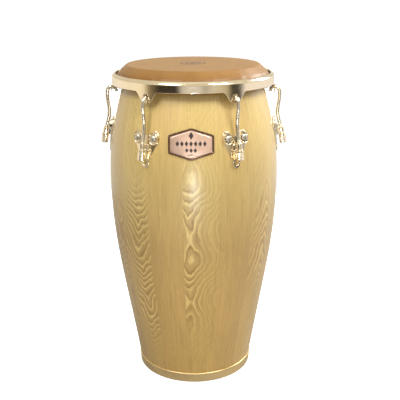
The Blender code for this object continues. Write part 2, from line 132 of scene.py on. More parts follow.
def rounded(corners, steps=6, closed=False):
    """A polyline with each corner (x, y, radius) replaced by a circular arc tangent to both of its sides.

    The arc starts radius / tan(half the corner's angle) before the corner, and its centre lies on the
    corner's bisector, radius / sin(half the angle) away. A radius of 0 keeps the corner.
    """
    points = np.array([c[:2] for c in corners], float)
    out = []
    for i, (_, _, radius) in enumerate(corners):
        here = points[i]
        at_end = not closed and i in (0, len(points) - 1)
        if radius <= 0 or at_end:
            out.append(here[None])
            continue
        back, ahead = points[i - 1] - here, points[(i + 1) % len(points)] - here
        back, ahead = back / np.linalg.norm(back), ahead / np.linalg.norm(ahead)
        half = np.arccos(np.clip(back @ ahead, -1, 1)) / 2
        middle = back + ahead
        centre = here + middle / np.linalg.norm(middle) * radius / np.sin(half)
        start, end = (here + side * radius / np.tan(half) - centre for side in (back, ahead))
        first, last = (np.arctan2(v[1], v[0]) for v in (start, end))
        sweep = (last - first + np.pi) % TURN - np.pi
        turns = first + sweep * np.linspace(0, 1, steps + 1)
        out.append(centre + radius * np.stack([np.cos(turns), np.sin(turns)], 1))
    return np.concatenate(out)


def arc_lengths(points):
    """The length of the polyline up to each of its points."""
    return np.concatenate([[0], np.cumsum(np.linalg.norm(np.diff(points, axis=0), axis=1))])


def resampled(points, count, closed=False):
    """The same polyline with its points an equal arc length apart."""
    line = np.concatenate([points, points[:1]]) if closed else points
    along = arc_lengths(line)
    at = np.linspace(0, along[-1], count + 1 if closed else count)
    made = np.stack([np.interp(at, along, line[:, k]) for k in range(line.shape[1])], 1)
    return made[:-1] if closed else made


# ---------------------------------------------------------------- surfaces
def full_turn(count):
    """Equal steps of angle round a whole turn, the last a step short of the first."""
    return np.arange(count) / count * TURN


def turned(radius, height, turns):
    """Surface (r cos a, r sin a, z) round Z."""
    return np.stack([radius * np.cos(turns), radius * np.sin(turns), height + 0 * turns], -1)


def lathe(outline, columns):
    """Surface (r, z) -> (r sin a, -r cos a, z) over a whole turn of a, from a (radius, height) outline."""
    turns = full_turn(columns)
    radius, height = outline[:, :1], outline[:, 1:]
    return np.stack([radius * np.sin(turns), -radius * np.cos(turns), height + 0 * turns], -1)


def tube(path, side, radius):
    """A round rod along a flat path: path + radius (cos a n + sin a side), with n = side x tangent."""
    tangent = np.gradient(path, axis=0)
    tangent /= np.linalg.norm(tangent, axis=1)[:, None]
    normal = np.cross(side, tangent)
    turns = full_turn(radius.shape[1])
    ring = np.cos(turns)[None, :, None] * normal[:, None] + np.sin(turns)[None, :, None] * np.asarray(side)
    return path[:, None] + radius[:, :, None] * ring


def quads(rows, columns, close_rows, close_columns):
    """The four corner indices of each cell of a rows by columns grid of points."""
    i = np.arange(rows if close_rows else rows - 1)[:, None]
    j = np.arange(columns if close_columns else columns - 1)[None]
    k, m = (i + 1) % rows, (j + 1) % columns
    cells = [i * columns + j, i * columns + m, k * columns + m, k * columns + j]
    return np.stack([np.broadcast_to(c, (i.shape[0], j.shape[1])) for c in cells], -1).reshape(-1, 4)


def moved(points, place):
    """Points carried by a 4 x 4 matrix."""
    place = np.array(place)
    return points @ place[:3, :3].T + place[:3, 3]


def build_mesh(name, sheets, sharp, attributes=None):
    """One mesh from grids (points, rows closed, columns closed), its poles merged and its faces outwards.

    Edges bent by more than sharp degrees are shaded sharp.
    """
    points, faces, first = [], [], 0
    for grid, close_rows, close_columns in sheets:
        rows, columns = grid.shape[:2]
        points.append(grid.reshape(-1, 3))
        faces.append(quads(rows, columns, close_rows, close_columns) + first)
        first += rows * columns
    mesh = bpy.data.meshes.new(name)
    mesh.from_pydata(np.concatenate(points), [], np.concatenate(faces))
    for key, values in (attributes or {}).items():
        kind, field = ("FLOAT", "value") if values.ndim == 1 else ("FLOAT_VECTOR", "vector")
        mesh.attributes.new(key, kind, "POINT").data.foreach_set(field, values.ravel().astype(np.float32))
    bm = bmesh.new()
    bm.from_mesh(mesh)
    bmesh.ops.remove_doubles(bm, verts=bm.verts, dist=1e-7)
    bmesh.ops.recalc_face_normals(bm, faces=bm.faces)
    bm.to_mesh(mesh)
    bm.free()
    mesh.polygons.foreach_set("use_smooth", np.ones(len(mesh.polygons), bool))
    mesh.set_sharp_from_angle(angle=math.radians(sharp))
    return mesh


def curve(radius, height):
    """(radius, height) points from two columns."""
    return np.stack([radius, height], 1)


def place_piece(name, mesh, finish, body, stands_for=()):
    """Makes the piece's object, gives it its finish and hands it to the frame."""
    old = bpy.data.objects.get(name)
    if old and "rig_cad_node" in old:
        old.name = f"cad.{name}"
    piece = bpy.data.objects.new(name, mesh)
    bpy.context.collection.objects.link(piece)
    mesh.materials.append(finish)
    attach(piece, body)
    if stands_for:
        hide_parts(*stands_for)
    return piece


def add_piece(name, sheets, sharp, finish, body, stands_for=()):
    """Builds a piece from its surfaces and places it."""
    return place_piece(name, build_mesh(name, sheets, sharp), finish, body, stands_for)


# ---------------------------------------------------------------- places from the frame
def joint(name):
    """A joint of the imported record, by name."""
    return next(j for j in frame["joints"] if j["name"] == name)


def node_points(name):
    """The corners of a CAD node, as an array."""
    corners = frame["nodes"][name].data.vertices
    flat = np.zeros(len(corners) * 3)
    corners.foreach_get("co", flat)
    return flat.reshape(-1, 3)


def shell_levels():
    """(height, outer radius, inner radius) at each level of a CAD stave below its rounded top."""
    corners = node_points("stave_01")
    radius = np.hypot(corners[:, 0], corners[:, 1])
    height = np.round(corners[:, 2], 4)
    levels = np.unique(height)[:-1]
    pairs = [(z, radius[height == z].max(), radius[height == z].min()) for z in levels]
    return np.array(pairs)


LEVELS = shell_levels()
OUTER = natural_spline(LEVELS[:, 0], LEVELS[:, 1])
WALL = float(np.median((LEVELS[:, 1] - LEVELS[:, 2])[:-1]))
SHELL_FOOT, SHELL_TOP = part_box("stave_01")[0].z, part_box("stave_01")[1].z
RIM_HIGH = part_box("rim")[1]
RING_LOW, RING_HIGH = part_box("flesh_ring")
SKIN_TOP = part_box("head_skin")[1].z


def azimuth_of(point):
    """A point's azimuth in radians."""
    return math.atan2(point[0], -point[1])


LUG_COUNT = sum(name.startswith("hook_body") for name in frame["bodies"])
LUGS = {n: azimuth_of(joint(f"hook_tilt_{n}")["pos_m"]) for n in range(1, LUG_COUNT + 1)}


def radial_place(azimuth, height=0.0, radius=0.0):
    """A 4 x 4 frame with X round the drum, Y up and Z outwards."""
    s, c = math.sin(azimuth), math.cos(azimuth)
    return np.array([[c, 0, s, radius * s], [s, 0, -c, -radius * c], [0, 1, 0, height], [0, 0, 0, 1]], float)


def shell_place(azimuth, height):
    """As radial_place but lying on the shell: Y runs up the shell, Z is the shell's outward normal."""
    step = 1e-4
    lean = math.atan((OUTER(height - step) - OUTER(height + step)) / (2 * step))
    place = radial_place(azimuth, height, float(OUTER(height)))
    turn = np.eye(4)
    turn[1:3, 1:3] = [[math.cos(lean), math.sin(lean)], [-math.sin(lean), math.cos(lean)]]
    return place @ turn


def on_shell(points, place, inset=0.0):
    """Bends points of a shell_place frame on to the shell, so that z = 0 lies on it.

    Each step adds (shell radius - inset - distance from the axis) times Z's horizontal share to the depth.
    """
    flat = points.copy()
    flat[..., 2] = 0
    normal = place[:3, 2]
    level = math.hypot(normal[0], normal[1])
    depth = np.zeros(points.shape[:-1])
    for _ in range(5):
        at = moved(flat, place) + depth[..., None] * normal
        depth += (OUTER(at[..., 2]) - inset - np.hypot(at[..., 0], at[..., 1])) * level
    out = points.copy()
    out[..., 2] += depth
    return out


# ---------------------------------------------------------------- sizes and colours a user would change
def length(name, description, default):
    """A length property in metres."""
    return FloatProperty(
        name=name, description=description, default=default, min=0.0, unit="LENGTH", precision=5
    )


def colour(name, description, code):
    """A colour property from an sRGB hex code."""
    return FloatVectorProperty(
        name=name, description=description, default=linear(code), size=3, min=0.0, max=1.0, subtype="COLOR"
    )


def whole(name, description, default, low, high):
    """A whole-number property."""
    return IntProperty(name=name, description=description, default=default, min=low, max=high)


class ShellSizes(bpy.types.PropertyGroup):
    """Sizes of the wooden shell and its foot."""

    seam: length("Seam", "Half the open joint between two staves", 0.00002)
    arris: length("Arris", "Width of the softened edge beside a seam", 0.0008)
    arris_depth: length("Arris depth", "How far that edge drops", 0.00006)
    ring_gap: length("Ring gap", "Typical spacing of the wood's growth rings", 0.0060)
    bearing_round: length("Bearing round", "Radius of the rounded edge the hide bears on", 0.0045)
    bead: length("Foot bead", "Radius of the rolled lip on the foot band", 0.0019)


class HeadSizes(bpy.types.PropertyGroup):
    """Sizes of the hide, the flesh ring and the rim."""

    hide: length("Hide", "Thickness of the hide", 0.0016)
    blank: length("Blank", "Width of the round blank that the hide is cut to", 0.400)
    edge: length("Edge", "Radius at which the playing surface rolls over", 0.1453)
    shoulder: length("Shoulder", "Radius of the foot of the sloping collar", 0.1614)
    pucker: length("Pucker", "Height of the soft puckers in the collar", 0.00035)
    rim_wall: length("Rim wall", "Thickness of the rim", 0.0030)
    rim_roll: length("Rim roll", "Radius of the bend of the rim's top towards the hide", 0.0085)
    rim_lip: length("Rim lip", "How far the rim's top runs on past its bend", 0.0020)
    ledge: length("Ledge", "Inner radius of the rim's ledge over the flesh ring", 0.1676)
    ear_hole: length("Ear hole", "Radius of the hole in each ear", 0.0057)


class HardwareSizes(bpy.types.PropertyGroup):
    """Sizes of the rods, nuts, side plates and bolts."""

    rod: length("Rod", "Radius of a tension rod", 0.0040)
    rod_depth: length("Rod depth", "From the shell to the rod's axis at the side plate", 0.0153)
    thread: length("Thread", "Pitch of the rod's thread", 0.00125)
    thread_run: length("Thread run", "Length of the rod that is threaded", 0.055)
    plate_height: length("Plate height", "Height of the side plates' bolts", 0.5780)
    plate: length("Plate", "Thickness of a side plate", 0.0030)
    spread: length("Bolt spread", "From the plate's middle to a bolt", 0.0190)
    boss: length("Boss", "Height of a boss above the plate", 0.0038)
    nut_flats: length("Nut flats", "Width of a tension nut across its flats", 0.0130)
    bolt: length("Bolt", "Radius of a carriage bolt's shank", 0.0030)
    bolt_head: length("Bolt head", "Radius of a carriage bolt's head", 0.0066)


class DrumColours(bpy.types.PropertyGroup):
    """The finishes' colours."""

    ash_light: colour("Ash, latewood", "Pale wood between the pores", "#F0D698")
    ash_dark: colour("Ash, earlywood", "Porous dark side of each ring", "#A57E40")
    hide: colour("Hide", "Scraped rawhide", "#A07840")
    hide_dark: colour("Hide, dark", "Thicker parts of the hide", "#885E28")
    gold: colour("Gold plate", "Champagne gold plate", "#F0E3C8")
    rod: colour("Rod plate", "Paler, silvery plate of the rods", "#D4CBB6")
    brass: colour("Brass plate", "Deeper brass plate of the foot band", "#EBD09A")
    rose: colour("Rose plate", "Rose gold plate of the badge", "#F2D0BC")
    border: colour("Badge border", "Dark bronze border of the badge", "#7E6253")
    zinc: colour("Zinc", "Zinc-plated steel", "#C6C1B2")
    rubber: colour("Rubber", "Black rubber", "#161514")
    mark: colour("Mark", "Grey print on the hide", "#645347")
    floor: colour("Floor", "Studio floor", "#F4F3F1")


class Tuning(bpy.types.PropertyGroup):
    """How finely the surfaces are divided."""

    stave_rows: whole("Stave rows", "Rows of faces up a stave", 150, 20, 400)
    round: whole("Round", "Columns of faces round the head and foot", 240, 48, 720)


# ---------------------------------------------------------------- finishes
BLEND = {"out": 2, "data_type": "RGBA"}  # a Mix node's settings that mix two colours
TINT = {**BLEND, "blend_type": "MULTIPLY"}  # and those that multiply them


def add(tree, kind, inputs=None, out=0, **settings):
    """Adds a node with its settings, sets or links its inputs, and returns one of its output sockets."""
    node = tree.nodes.new("ShaderNode" + kind)
    for key, value in settings.items():
        setattr(node, key, value)
    for key, value in (inputs or {}).items():
        if isinstance(value, bpy.types.NodeSocket):
            tree.links.new(value, node.inputs[key])
        else:
            node.inputs[key].default_value = value
    return node.outputs[out] if node.outputs else None


def ramp(tree, fac, stops):
    """A colour ramp of (place, linear colour) stops read at fac; returns its colour socket."""
    socket = add(tree, "ValToRGB", {"Fac": fac})
    elements = socket.node.color_ramp.elements
    while len(elements) < len(stops):
        elements.new(0.5)
    for element, (place, shade) in zip(elements, stops):
        element.position, element.color = place, (*shade, 1.0)
    return socket


def new_finish(name):
    """An empty material and its Principled shader."""
    old = bpy.data.materials.get(name)
    if old:
        bpy.data.materials.remove(old)
    finish = bpy.data.materials.new(name)
    finish.use_nodes = True
    return finish, finish.node_tree, finish.node_tree.nodes["Principled BSDF"]


def tone(code, factor):
    """A linear colour made lighter or darker."""
    return tuple(min(1.0, c * factor) for c in code)


def lacquered_ash(colours):
    """Ash staves, turned and lacquered to a satin: dark rings of open pores and pale latewood under a coat.

    The attribute ring counts growth rings from the board's own cut, and figure is how boldly they show.
    The attribute grain is the board's own space (across, deep, along), so pores run along each stave.
    The attribute board is a number from 0 to 1 that sets its tone.
    """
    finish, tree, shader = new_finish("lacquered_ash")
    grain = add(tree, "Attribute", attribute_name="grain", out="Vector")
    ring = add(tree, "Attribute", attribute_name="ring", out="Fac")
    board = add(tree, "Attribute", attribute_name="board", out="Fac")
    figure = add(tree, "Attribute", attribute_name="figure", out="Fac")

    # rings wander by a ring or so over a hand's length, and shiver by a third of one every 20 mm
    wander = add(tree, "Mapping", {"Vector": grain, "Scale": (26.0, 26.0, 12.0)})
    drift = add(tree, "TexNoise", {"Vector": wander, "Scale": 1.0, "Detail": 1.0})
    shiver = add(tree, "Mapping", {"Vector": grain, "Scale": (90.0, 90.0, 40.0)})
    tremble = add(tree, "TexNoise", {"Vector": shiver, "Scale": 1.0, "Detail": 2.0, "Roughness": 0.5})
    drifted = add(tree, "Math", {0: drift, 1: 3.2, 2: ring}, operation="MULTIPLY_ADD")
    pushed = add(tree, "Math", {0: tremble, 1: 0.9, 2: drifted}, operation="MULTIPLY_ADD")
    year = add(tree, "Math", {0: pushed}, operation="FRACT")
    # each year runs from dark open earlywood to a pale line of latewood, some years much stronger than others
    shades = ((0.0, 0.45), (0.16, 0.0), (0.34, 0.38), (0.60, 0.46), (0.80, 1.0), (0.92, 0.90), (1.0, 0.45))
    band = ramp(tree, year, [(at, (value,) * 3) for at, value in shades])
    count = add(tree, "Math", {0: pushed}, operation="FLOOR")
    growth = add(tree, "TexWhiteNoise", {"W": count}, noise_dimensions="1D")
    strength = add(tree, "MapRange", {"Value": growth, "From Max": 0.5, "To Min": 0.6})
    shown = add(tree, "Math", {0: figure, 1: strength}, operation="MULTIPLY")

    # open pores: dashes 0.3 mm wide and some 15 mm long, thickest in the earlywood
    fine = add(tree, "Mapping", {"Vector": grain, "Scale": (1700.0, 1700.0, 60.0)})
    dashes = add(tree, "TexNoise", {"Vector": fine, "Scale": 1.0, "Detail": 3.0, "Roughness": 0.6})
    pores = ramp(tree, dashes, [(0.40, (0.0,) * 3), (0.56, (1.0,) * 3)])
    # fibre streaks 3 mm wide and a hand long, the tone that shows from a distance
    broad = add(tree, "Mapping", {"Vector": grain, "Scale": (330.0, 330.0, 9.0)})
    streak = add(tree, "TexNoise", {"Vector": broad, "Scale": 1.0, "Detail": 3.0, "Roughness": 0.55})
    cloud = add(tree, "Mapping", {"Vector": grain, "Scale": (16.0, 16.0, 5.0)})
    patch = add(tree, "TexNoise", {"Vector": cloud, "Scale": 1.0, "Detail": 1.5})

    light, dark = tuple(colours.ash_light), tuple(colours.ash_dark)
    rings = add(tree, "Mix", {0: shown, 6: (0.45, 0.45, 0.45, 1), 7: band}, **BLEND)
    base = add(tree, "Mix", {0: rings, 6: (*dark, 1), 7: (*light, 1)}, **BLEND)
    fibres = ((0.30, (0.80, 0.79, 0.76)), (0.52, (1.0, 1.0, 1.0)), (0.75, (1.05, 1.04, 1.02)))
    fibre = ramp(tree, streak, fibres)
    toned = add(tree, "Mix", {0: 0.8, 6: base, 7: fibre}, **TINT)
    soft = ramp(tree, patch, [(0.32, (0.92, 0.90, 0.86)), (0.68, (1.04, 1.03, 1.0))])
    mottled = add(tree, "Mix", {0: 0.8, 6: toned, 7: soft}, **TINT)
    boards = (
        (0.0, (0.93, 0.90, 0.85)),
        (0.35, (1.0, 0.99, 0.97)),
        (0.7, (0.97, 0.985, 0.93)),
        (1.0, (1.05, 1.04, 1.0)),
    )
    shift = ramp(tree, board, boards)
    stave = add(tree, "Mix", {0: 1.0, 6: mottled, 7: shift}, **TINT)
    # painted light and shade by height: the top of the shell is lightened and paled as painted sheen and
    # light from above, and the lower half is darkened and browned as painted shade
    place = add(tree, "TexCoord", out="Object")
    height = add(tree, "SeparateXYZ", {0: place}, out="Z")
    painted_light_stops = (
        (0.0, (0.97, 0.87, 0.58)),
        (0.18, (0.98, 0.89, 0.64)),
        (0.34, (0.90, 0.83, 0.65)),
        (0.47, (1.0, 1.02, 0.93)),
        (0.60, (1.20, 1.23, 1.10)),
    )
    painted_light_by_height = ramp(tree, height, painted_light_stops)
    # the staves' colour multiplied by that painted light and shade
    painted_light_wood = add(tree, "Mix", {0: 1.0, 6: stave, 7: painted_light_by_height}, **TINT)
    speck = add(tree, "MapRange", {"Value": pores, "To Min": 0.90, "To Max": 1.0})
    porous = add(tree, "VectorMath", {0: painted_light_wood, "Scale": speck}, operation="SCALE")

    relief = add(tree, "Math", {0: pores, 1: 0.6, 2: band}, operation="MULTIPLY_ADD")
    bump = add(tree, "Bump", {"Strength": 0.18, "Distance": 0.00012, "Height": relief})
    gloss = add(tree, "MapRange", {"Value": streak, "To Min": 0.50, "To Max": 0.40})
    tree.links.new(porous, shader.inputs["Base Color"])
    tree.links.new(gloss, shader.inputs["Roughness"])
    tree.links.new(bump, shader.inputs["Normal"])
    shader.inputs["Coat Weight"].default_value = 0.8
    shader.inputs["Coat Roughness"].default_value = 0.26
    shader.inputs["IOR"].default_value = 1.5
    return finish


def rawhide(colours):
    """A scraped steer hide, stretched wet and dried: warm, cloudy and finely grained, with a waxy half gloss.

    Clouds are 30 to 60 mm wide, as the hide's thickness varies; hair follicles are about 0.8 mm apart.
    """
    finish, tree, shader = new_finish("rawhide")
    place = add(tree, "TexCoord", out="Object")
    clouds = add(tree, "TexNoise", {"Vector": place, "Scale": 24.0, "Detail": 5.0, "Roughness": 0.55})
    fine = add(tree, "TexNoise", {"Vector": place, "Scale": 420.0, "Detail": 4.0, "Roughness": 0.6})
    follicles = add(tree, "TexVoronoi", {"Vector": place, "Scale": 1250.0})
    light, dark = tuple(colours.hide), tuple(colours.hide_dark)
    soft = add(tree, "Mix", {0: clouds, 6: (*dark, 1), 7: (*tone(light, 1.12), 1)}, **BLEND)
    grainy = ramp(tree, fine, [(0.35, (0.93, 0.92, 0.90)), (0.62, (1.02, 1.02, 1.02))])
    skin = add(tree, "Mix", {0: 0.8, 6: soft, 7: grainy}, **TINT)

    # the collar is darker and browner towards the rim
    height = add(tree, "SeparateXYZ", {0: place}, out="Z")
    foot, crest = SKIN_TOP - 0.020, SKIN_TOP - 0.0015
    fall = add(tree, "MapRange", {"Value": height, "From Min": foot, "From Max": crest})
    browned = add(tree, "Mix", {0: fall, 6: (0.84, 0.72, 0.40, 1), 7: (1, 1, 1, 1)}, **BLEND)
    collar = add(tree, "Mix", {0: 1.0, 6: skin, 7: browned}, **TINT)

    relief = add(tree, "Math", {0: follicles, 1: 0.35, 2: fine}, operation="MULTIPLY_ADD")
    bump = add(tree, "Bump", {"Strength": 0.25, "Distance": 0.0002, "Height": relief})
    tree.links.new(collar, shader.inputs["Base Color"])
    tree.links.new(bump, shader.inputs["Normal"])
    shader.inputs["Roughness"].default_value = 0.42
    shader.inputs["IOR"].default_value = 1.52
    shader.inputs["Subsurface Weight"].default_value = 0.06
    shader.inputs["Subsurface Radius"].default_value = (0.004, 0.002, 0.001)
    return finish


def plated(name, code, roughness, wear):
    """Plate over polished steel: a clean mirror, a little softer in patches where it has been handled.

    The patches are 20 to 40 mm wide. Wipe marks, drawn 1 mm wide so that they show, run every way.
    """
    finish, tree, shader = new_finish(name)
    place = add(tree, "TexCoord", out="Object")
    patches = add(tree, "TexNoise", {"Vector": place, "Scale": 38.0, "Detail": 4.0, "Roughness": 0.6})
    marks = add(tree, "TexNoise", {"Vector": place, "Scale": 900.0, "Detail": 2.0})
    spread = {"Value": patches, "From Min": 0.3, "From Max": 0.75}
    dulled = add(tree, "MapRange", {**spread, "To Min": roughness, "To Max": roughness + wear})
    shade = ramp(tree, patches, [(0.25, tone(code, 0.93)), (0.55, code), (0.8, tone(code, 1.04))])
    bump = add(tree, "Bump", {"Strength": 0.05, "Distance": 0.0001, "Height": marks})
    tree.links.new(shade, shader.inputs["Base Color"])
    tree.links.new(dulled, shader.inputs["Roughness"])
    tree.links.new(bump, shader.inputs["Normal"])
    shader.inputs["Metallic"].default_value = 1.0
    return finish


def moulded_rubber(colours):
    """Extruded black rubber: dull, with dust in its fine skin."""
    finish, tree, shader = new_finish("moulded_rubber")
    place = add(tree, "TexCoord", out="Object")
    dust = add(tree, "TexNoise", {"Vector": place, "Scale": 160.0, "Detail": 5.0})
    black = tuple(colours.rubber)
    shade = ramp(tree, dust, [(0.4, black), (0.75, tone(black, 2.6))])
    bump = add(tree, "Bump", {"Strength": 0.2, "Distance": 0.0001, "Height": dust})
    tree.links.new(shade, shader.inputs["Base Color"])
    tree.links.new(bump, shader.inputs["Normal"])
    shader.inputs["Roughness"].default_value = 0.75
    return finish


def printed_ink(colours):
    """Grey ink stamped on the hide and half worn away: a matt film, thinner in specks."""
    finish, tree, shader = new_finish("printed_ink")
    place = add(tree, "TexCoord", out="Object")
    worn = add(tree, "TexNoise", {"Vector": place, "Scale": 300.0, "Detail": 4.0, "Roughness": 0.7})
    shade = ramp(tree, worn, [(0.35, tone(tuple(colours.mark), 1.25)), (0.6, tuple(colours.mark))])
    tree.links.new(shade, shader.inputs["Base Color"])
    shader.inputs["Roughness"].default_value = 0.6
    return finish


def gold(colours):
    """The champagne gold plate that the rim, nuts and side plates share."""
    made = bpy.data.materials.get("champagne_plate")
    return made or plated("champagne_plate", tuple(colours.gold), 0.09, 0.10)


def zinc(colours):
    """The bright zinc plate of the bolts, backing plates and flesh ring."""
    made = bpy.data.materials.get("zinc_plate")
    return made or plated("zinc_plate", tuple(colours.zinc), 0.24, 0.12)


# ---------------------------------------------------------------- shell
# How each stave was sawn, with u across the stave and z up it, in metres. Its rings are the levels of F =
# depth + steep z + swell cos(2 pi z / CUT_SWELL_LENGTH + number) + arm sqrt((u - offset)^2 + CUT_ROUND^2).
# Each row is (offset, steep, swell, arm, reach, low, high, bold): the figure is bold from low to high and
# within reach of the offset. A negative arm with a steep cut stacks chevrons that point down, a positive one
# points them up, and no steepness draws lines along the stave.
BOARD_CUTS = (
    (-0.024, 0.10, 0.0075, -0.50, 0.019, 0.12, 0.56, 1.00),
    (-0.070, 0.02, 0.0010, 0.34, 0.036, 0.22, 0.42, 0.30),
    (0.010, 0.22, 0.0020, 0.40, 0.036, 0.20, 0.50, 0.70),
    (0.055, 0.03, 0.0020, 0.40, 0.036, 0.10, 0.60, 0.30),
    (0.004, 0.40, 0.0040, -0.50, 0.036, 0.10, 0.60, 0.85),
    (-0.050, 0.02, 0.0010, 0.35, 0.036, 0.05, 0.65, 0.30),
    (-0.010, 0.16, 0.0110, 0.45, 0.036, 0.10, 0.60, 0.80),
    (0.045, 0.04, 0.0020, 0.40, 0.036, 0.05, 0.65, 0.30),
    (0.002, 0.42, 0.0030, -0.52, 0.036, 0.15, 0.55, 0.90),
    (-0.055, 0.02, 0.0010, 0.35, 0.036, 0.05, 0.65, 0.30),
    (0.008, 0.15, 0.0110, -0.42, 0.036, 0.08, 0.60, 0.80),
    (0.050, 0.02, 0.0020, 0.40, 0.036, 0.05, 0.65, 0.30),
    (0.022, 0.18, 0.0080, 0.42, 0.036, 0.10, 0.45, 0.55),
    (0.010, 0.33, 0.0021, -0.44, 0.036, 0.08, 0.50, 1.00),
    (0.070, 0.01, 0.0010, 0.30, 0.036, 0.10, 0.52, 0.25),
)
CUT_ROUND, CUT_SWELL_LENGTH, CUT_FADE = 0.005, 0.17, 0.09
PLAIN_FIGURE = 0.10  # how much of its figure a stave shows outside its bold stretch


def rings_at(across, along, deep, number, gap):
    """Ring count F / gap of a stave's cut at points in the board, and how boldly it shows there."""
    offset, steep, swell, arm, reach, low, high, bold = BOARD_CUTS[number - 1]
    wave = swell * np.cos(TURN * along / CUT_SWELL_LENGTH + number)
    arms = arm * np.sqrt((across - offset) ** 2 + CUT_ROUND**2)
    window = smooth((along - low) / CUT_FADE) * smooth((high - along) / CUT_FADE)
    window *= 0.12 + 0.88 * np.exp(-(((across - offset) / reach) ** 2))
    return (steep * along + wave + arms + deep) / gap, bold * (PLAIN_FIGURE + (1 - PLAIN_FIGURE) * window)


def stave_mesh(number, middle, half, sizes, rows):
    """One stave: outer face r = R(z) - arris(u), inner face r = R(z) - wall, joined at its four edges.

    u runs across the stave from -1 to 1 at azimuth middle + u (half - asin(seam / r)), and the arris drops by
    arris_depth times the square of how far u is into the strip beside the seam.
    """
    crest = sizes.bearing_round
    over = np.radians(np.linspace(0, 90, 9)[1:])
    heights = np.linspace(SHELL_FOOT, SHELL_TOP - crest, rows)
    outer_r = np.concatenate([OUTER(heights), OUTER(heights[-1]) - crest * (1 - np.cos(over))])
    outer_z = np.concatenate([heights, heights[-1] + crest * np.sin(over)])
    inner_z = np.linspace(SHELL_FOOT, SHELL_TOP - 0.001, len(outer_z))
    inner_r = OUTER(inner_z) - WALL
    across = np.concatenate([[-1, -0.992, -0.98], np.linspace(-0.96, 0.96, 17), [0.98, 0.992, 1]])

    def face(radius, height, drop):
        reach = half - np.arcsin(sizes.seam / radius)[:, None]
        edge = np.clip((np.abs(across) - 1) * reach * radius[:, None] / sizes.arris + 1, 0, 1)
        r = radius[:, None] - drop * edge**2
        turn = middle + reach * across
        return np.stack([r * np.sin(turn), -r * np.cos(turn), height[:, None] + 0 * turn], -1)

    outer, inner = face(outer_r, outer_z, sizes.arris_depth), face(inner_r, inner_z, 0.0)
    loop = np.concatenate([outer, inner[:, ::-1]], axis=1)
    width = across * half * outer_r[:, None]
    width = np.concatenate([width, width[:, ::-1]], 1)
    deep = np.concatenate([np.zeros(outer.shape[:2]), np.full(inner.shape[:2], WALL)], 1)
    rings, figure = rings_at(width, loop[..., 2], deep, number, sizes.ring_gap)
    grain = np.stack([width + number * 0.31, deep, loop[..., 2] + number * 1.7], -1)
    board = np.full(rings.shape, (number * 0.618) % 1.0)
    count = len(across)

    def ends(values):
        return [np.stack([values[end, :count], values[end, : count - 1 : -1]]) for end in (0, -1)]

    # each end is closed by a strip of quads that joins the outer edge to the inner one
    sheets = [(loop, False, True), *((cap, False, False) for cap in ends(loop))]
    named = {"ring": rings, "figure": figure, "board": board, "grain": grain}
    for key, values in named.items():
        flat = [part.reshape(-1, *values.shape[2:]) for part in (values, *ends(values))]
        named[key] = np.concatenate(flat)
    return build_mesh(f"stave_{number:02d}_wood", sheets, 35, named)


class CONGA_OT_shell(bpy.types.Operator):
    """Builds the staves of the shell."""

    bl_idname = "conga.shell"
    bl_label = "Shell"

    def execute(self, context):
        scene = context.scene
        finish = lacquered_ash(scene.conga_colours)
        nodes = sorted(name for name in frame["nodes"] if name.startswith("stave_"))
        for number, node in enumerate(nodes, start=1):
            corners = node_points(node)
            start = azimuth_of(corners.mean(0)[:2])
            place = radial_place(start)[:3, :3]
            spread = np.arctan2(corners @ place[:, 0], corners @ place[:, 2])
            middle = start + (spread.min() + spread.max()) / 2
            half, rows = math.pi / len(nodes), scene.conga_tuning.stave_rows
            mesh = stave_mesh(number, middle, half, scene.conga_shell, rows)
            place_piece(f"{node}_wood", mesh, finish, "shell", [node])
        return {"FINISHED"}


class CONGA_OT_foot(bpy.types.Operator):
    """Builds the plated band round the foot and the rubber ring under it."""

    bl_idname = "conga.foot"
    bl_label = "Foot"

    def execute(self, context):
        scene, columns = context.scene, context.scene.conga_tuning.round
        low, high = (corner.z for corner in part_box("foot_band"))
        bead = scene.conga_shell.bead
        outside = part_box("foot_band")[1].x
        clear = 0.0002
        inside = float(OUTER(high)) + clear
        foot_inside = max(float(OUTER(low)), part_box("foot_rubber")[1].x) + clear
        # a rolled lip stands on the band's top, and its lower edge is turned in a little
        corners = [
            (inside, high - 0.0003, 0.0001),
            (inside, high, 0.0003),
            (outside, high, bead * 0.9),
            (outside, high - 2 * bead, bead * 0.9),
            (outside - 0.0007, high - 2.4 * bead, 0.0006),
            (outside - 0.0009, high - 0.006, 0.002),
            (outside - 0.0016, low + 0.002, 0.002),
            (outside - 0.0022, low, 0.0005),
            (foot_inside, low, 0.0002),
        ]
        band = [(lathe(rounded(corners, 5, True), columns), True, True)]
        brass = plated("brass_plate", tuple(scene.conga_colours.brass), 0.27, 0.10)
        add_piece("foot_band_plate", band, 40, brass, "shell", ["foot_band"])
        outer, _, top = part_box("foot_rubber")[1]
        inner = np.hypot(*node_points("foot_rubber")[:, :2].T).min()
        corners = [(inner, 0, 0.0008), (outer, 0, 0.0006), (outer, top, 0.0003), (inner, top, 0.0005)]
        ring = [(lathe(rounded(corners, 4, True), columns), True, True)]
        rubber = moulded_rubber(scene.conga_colours)
        add_piece("foot_rubber_ring", ring, 40, rubber, "shell", ["foot_rubber"])
        return {"FINISHED"}


# ---------------------------------------------------------------- head
def ring_centre():
    """(radius, height, section radius) of the flesh ring."""
    wire = (RING_HIGH.z - RING_LOW.z) / 2
    return RING_HIGH.x - wire, (RING_HIGH.z + RING_LOW.z) / 2, wire


TUCK_HEIGHT = 0.6890  # where the collar turns down beside the flesh ring


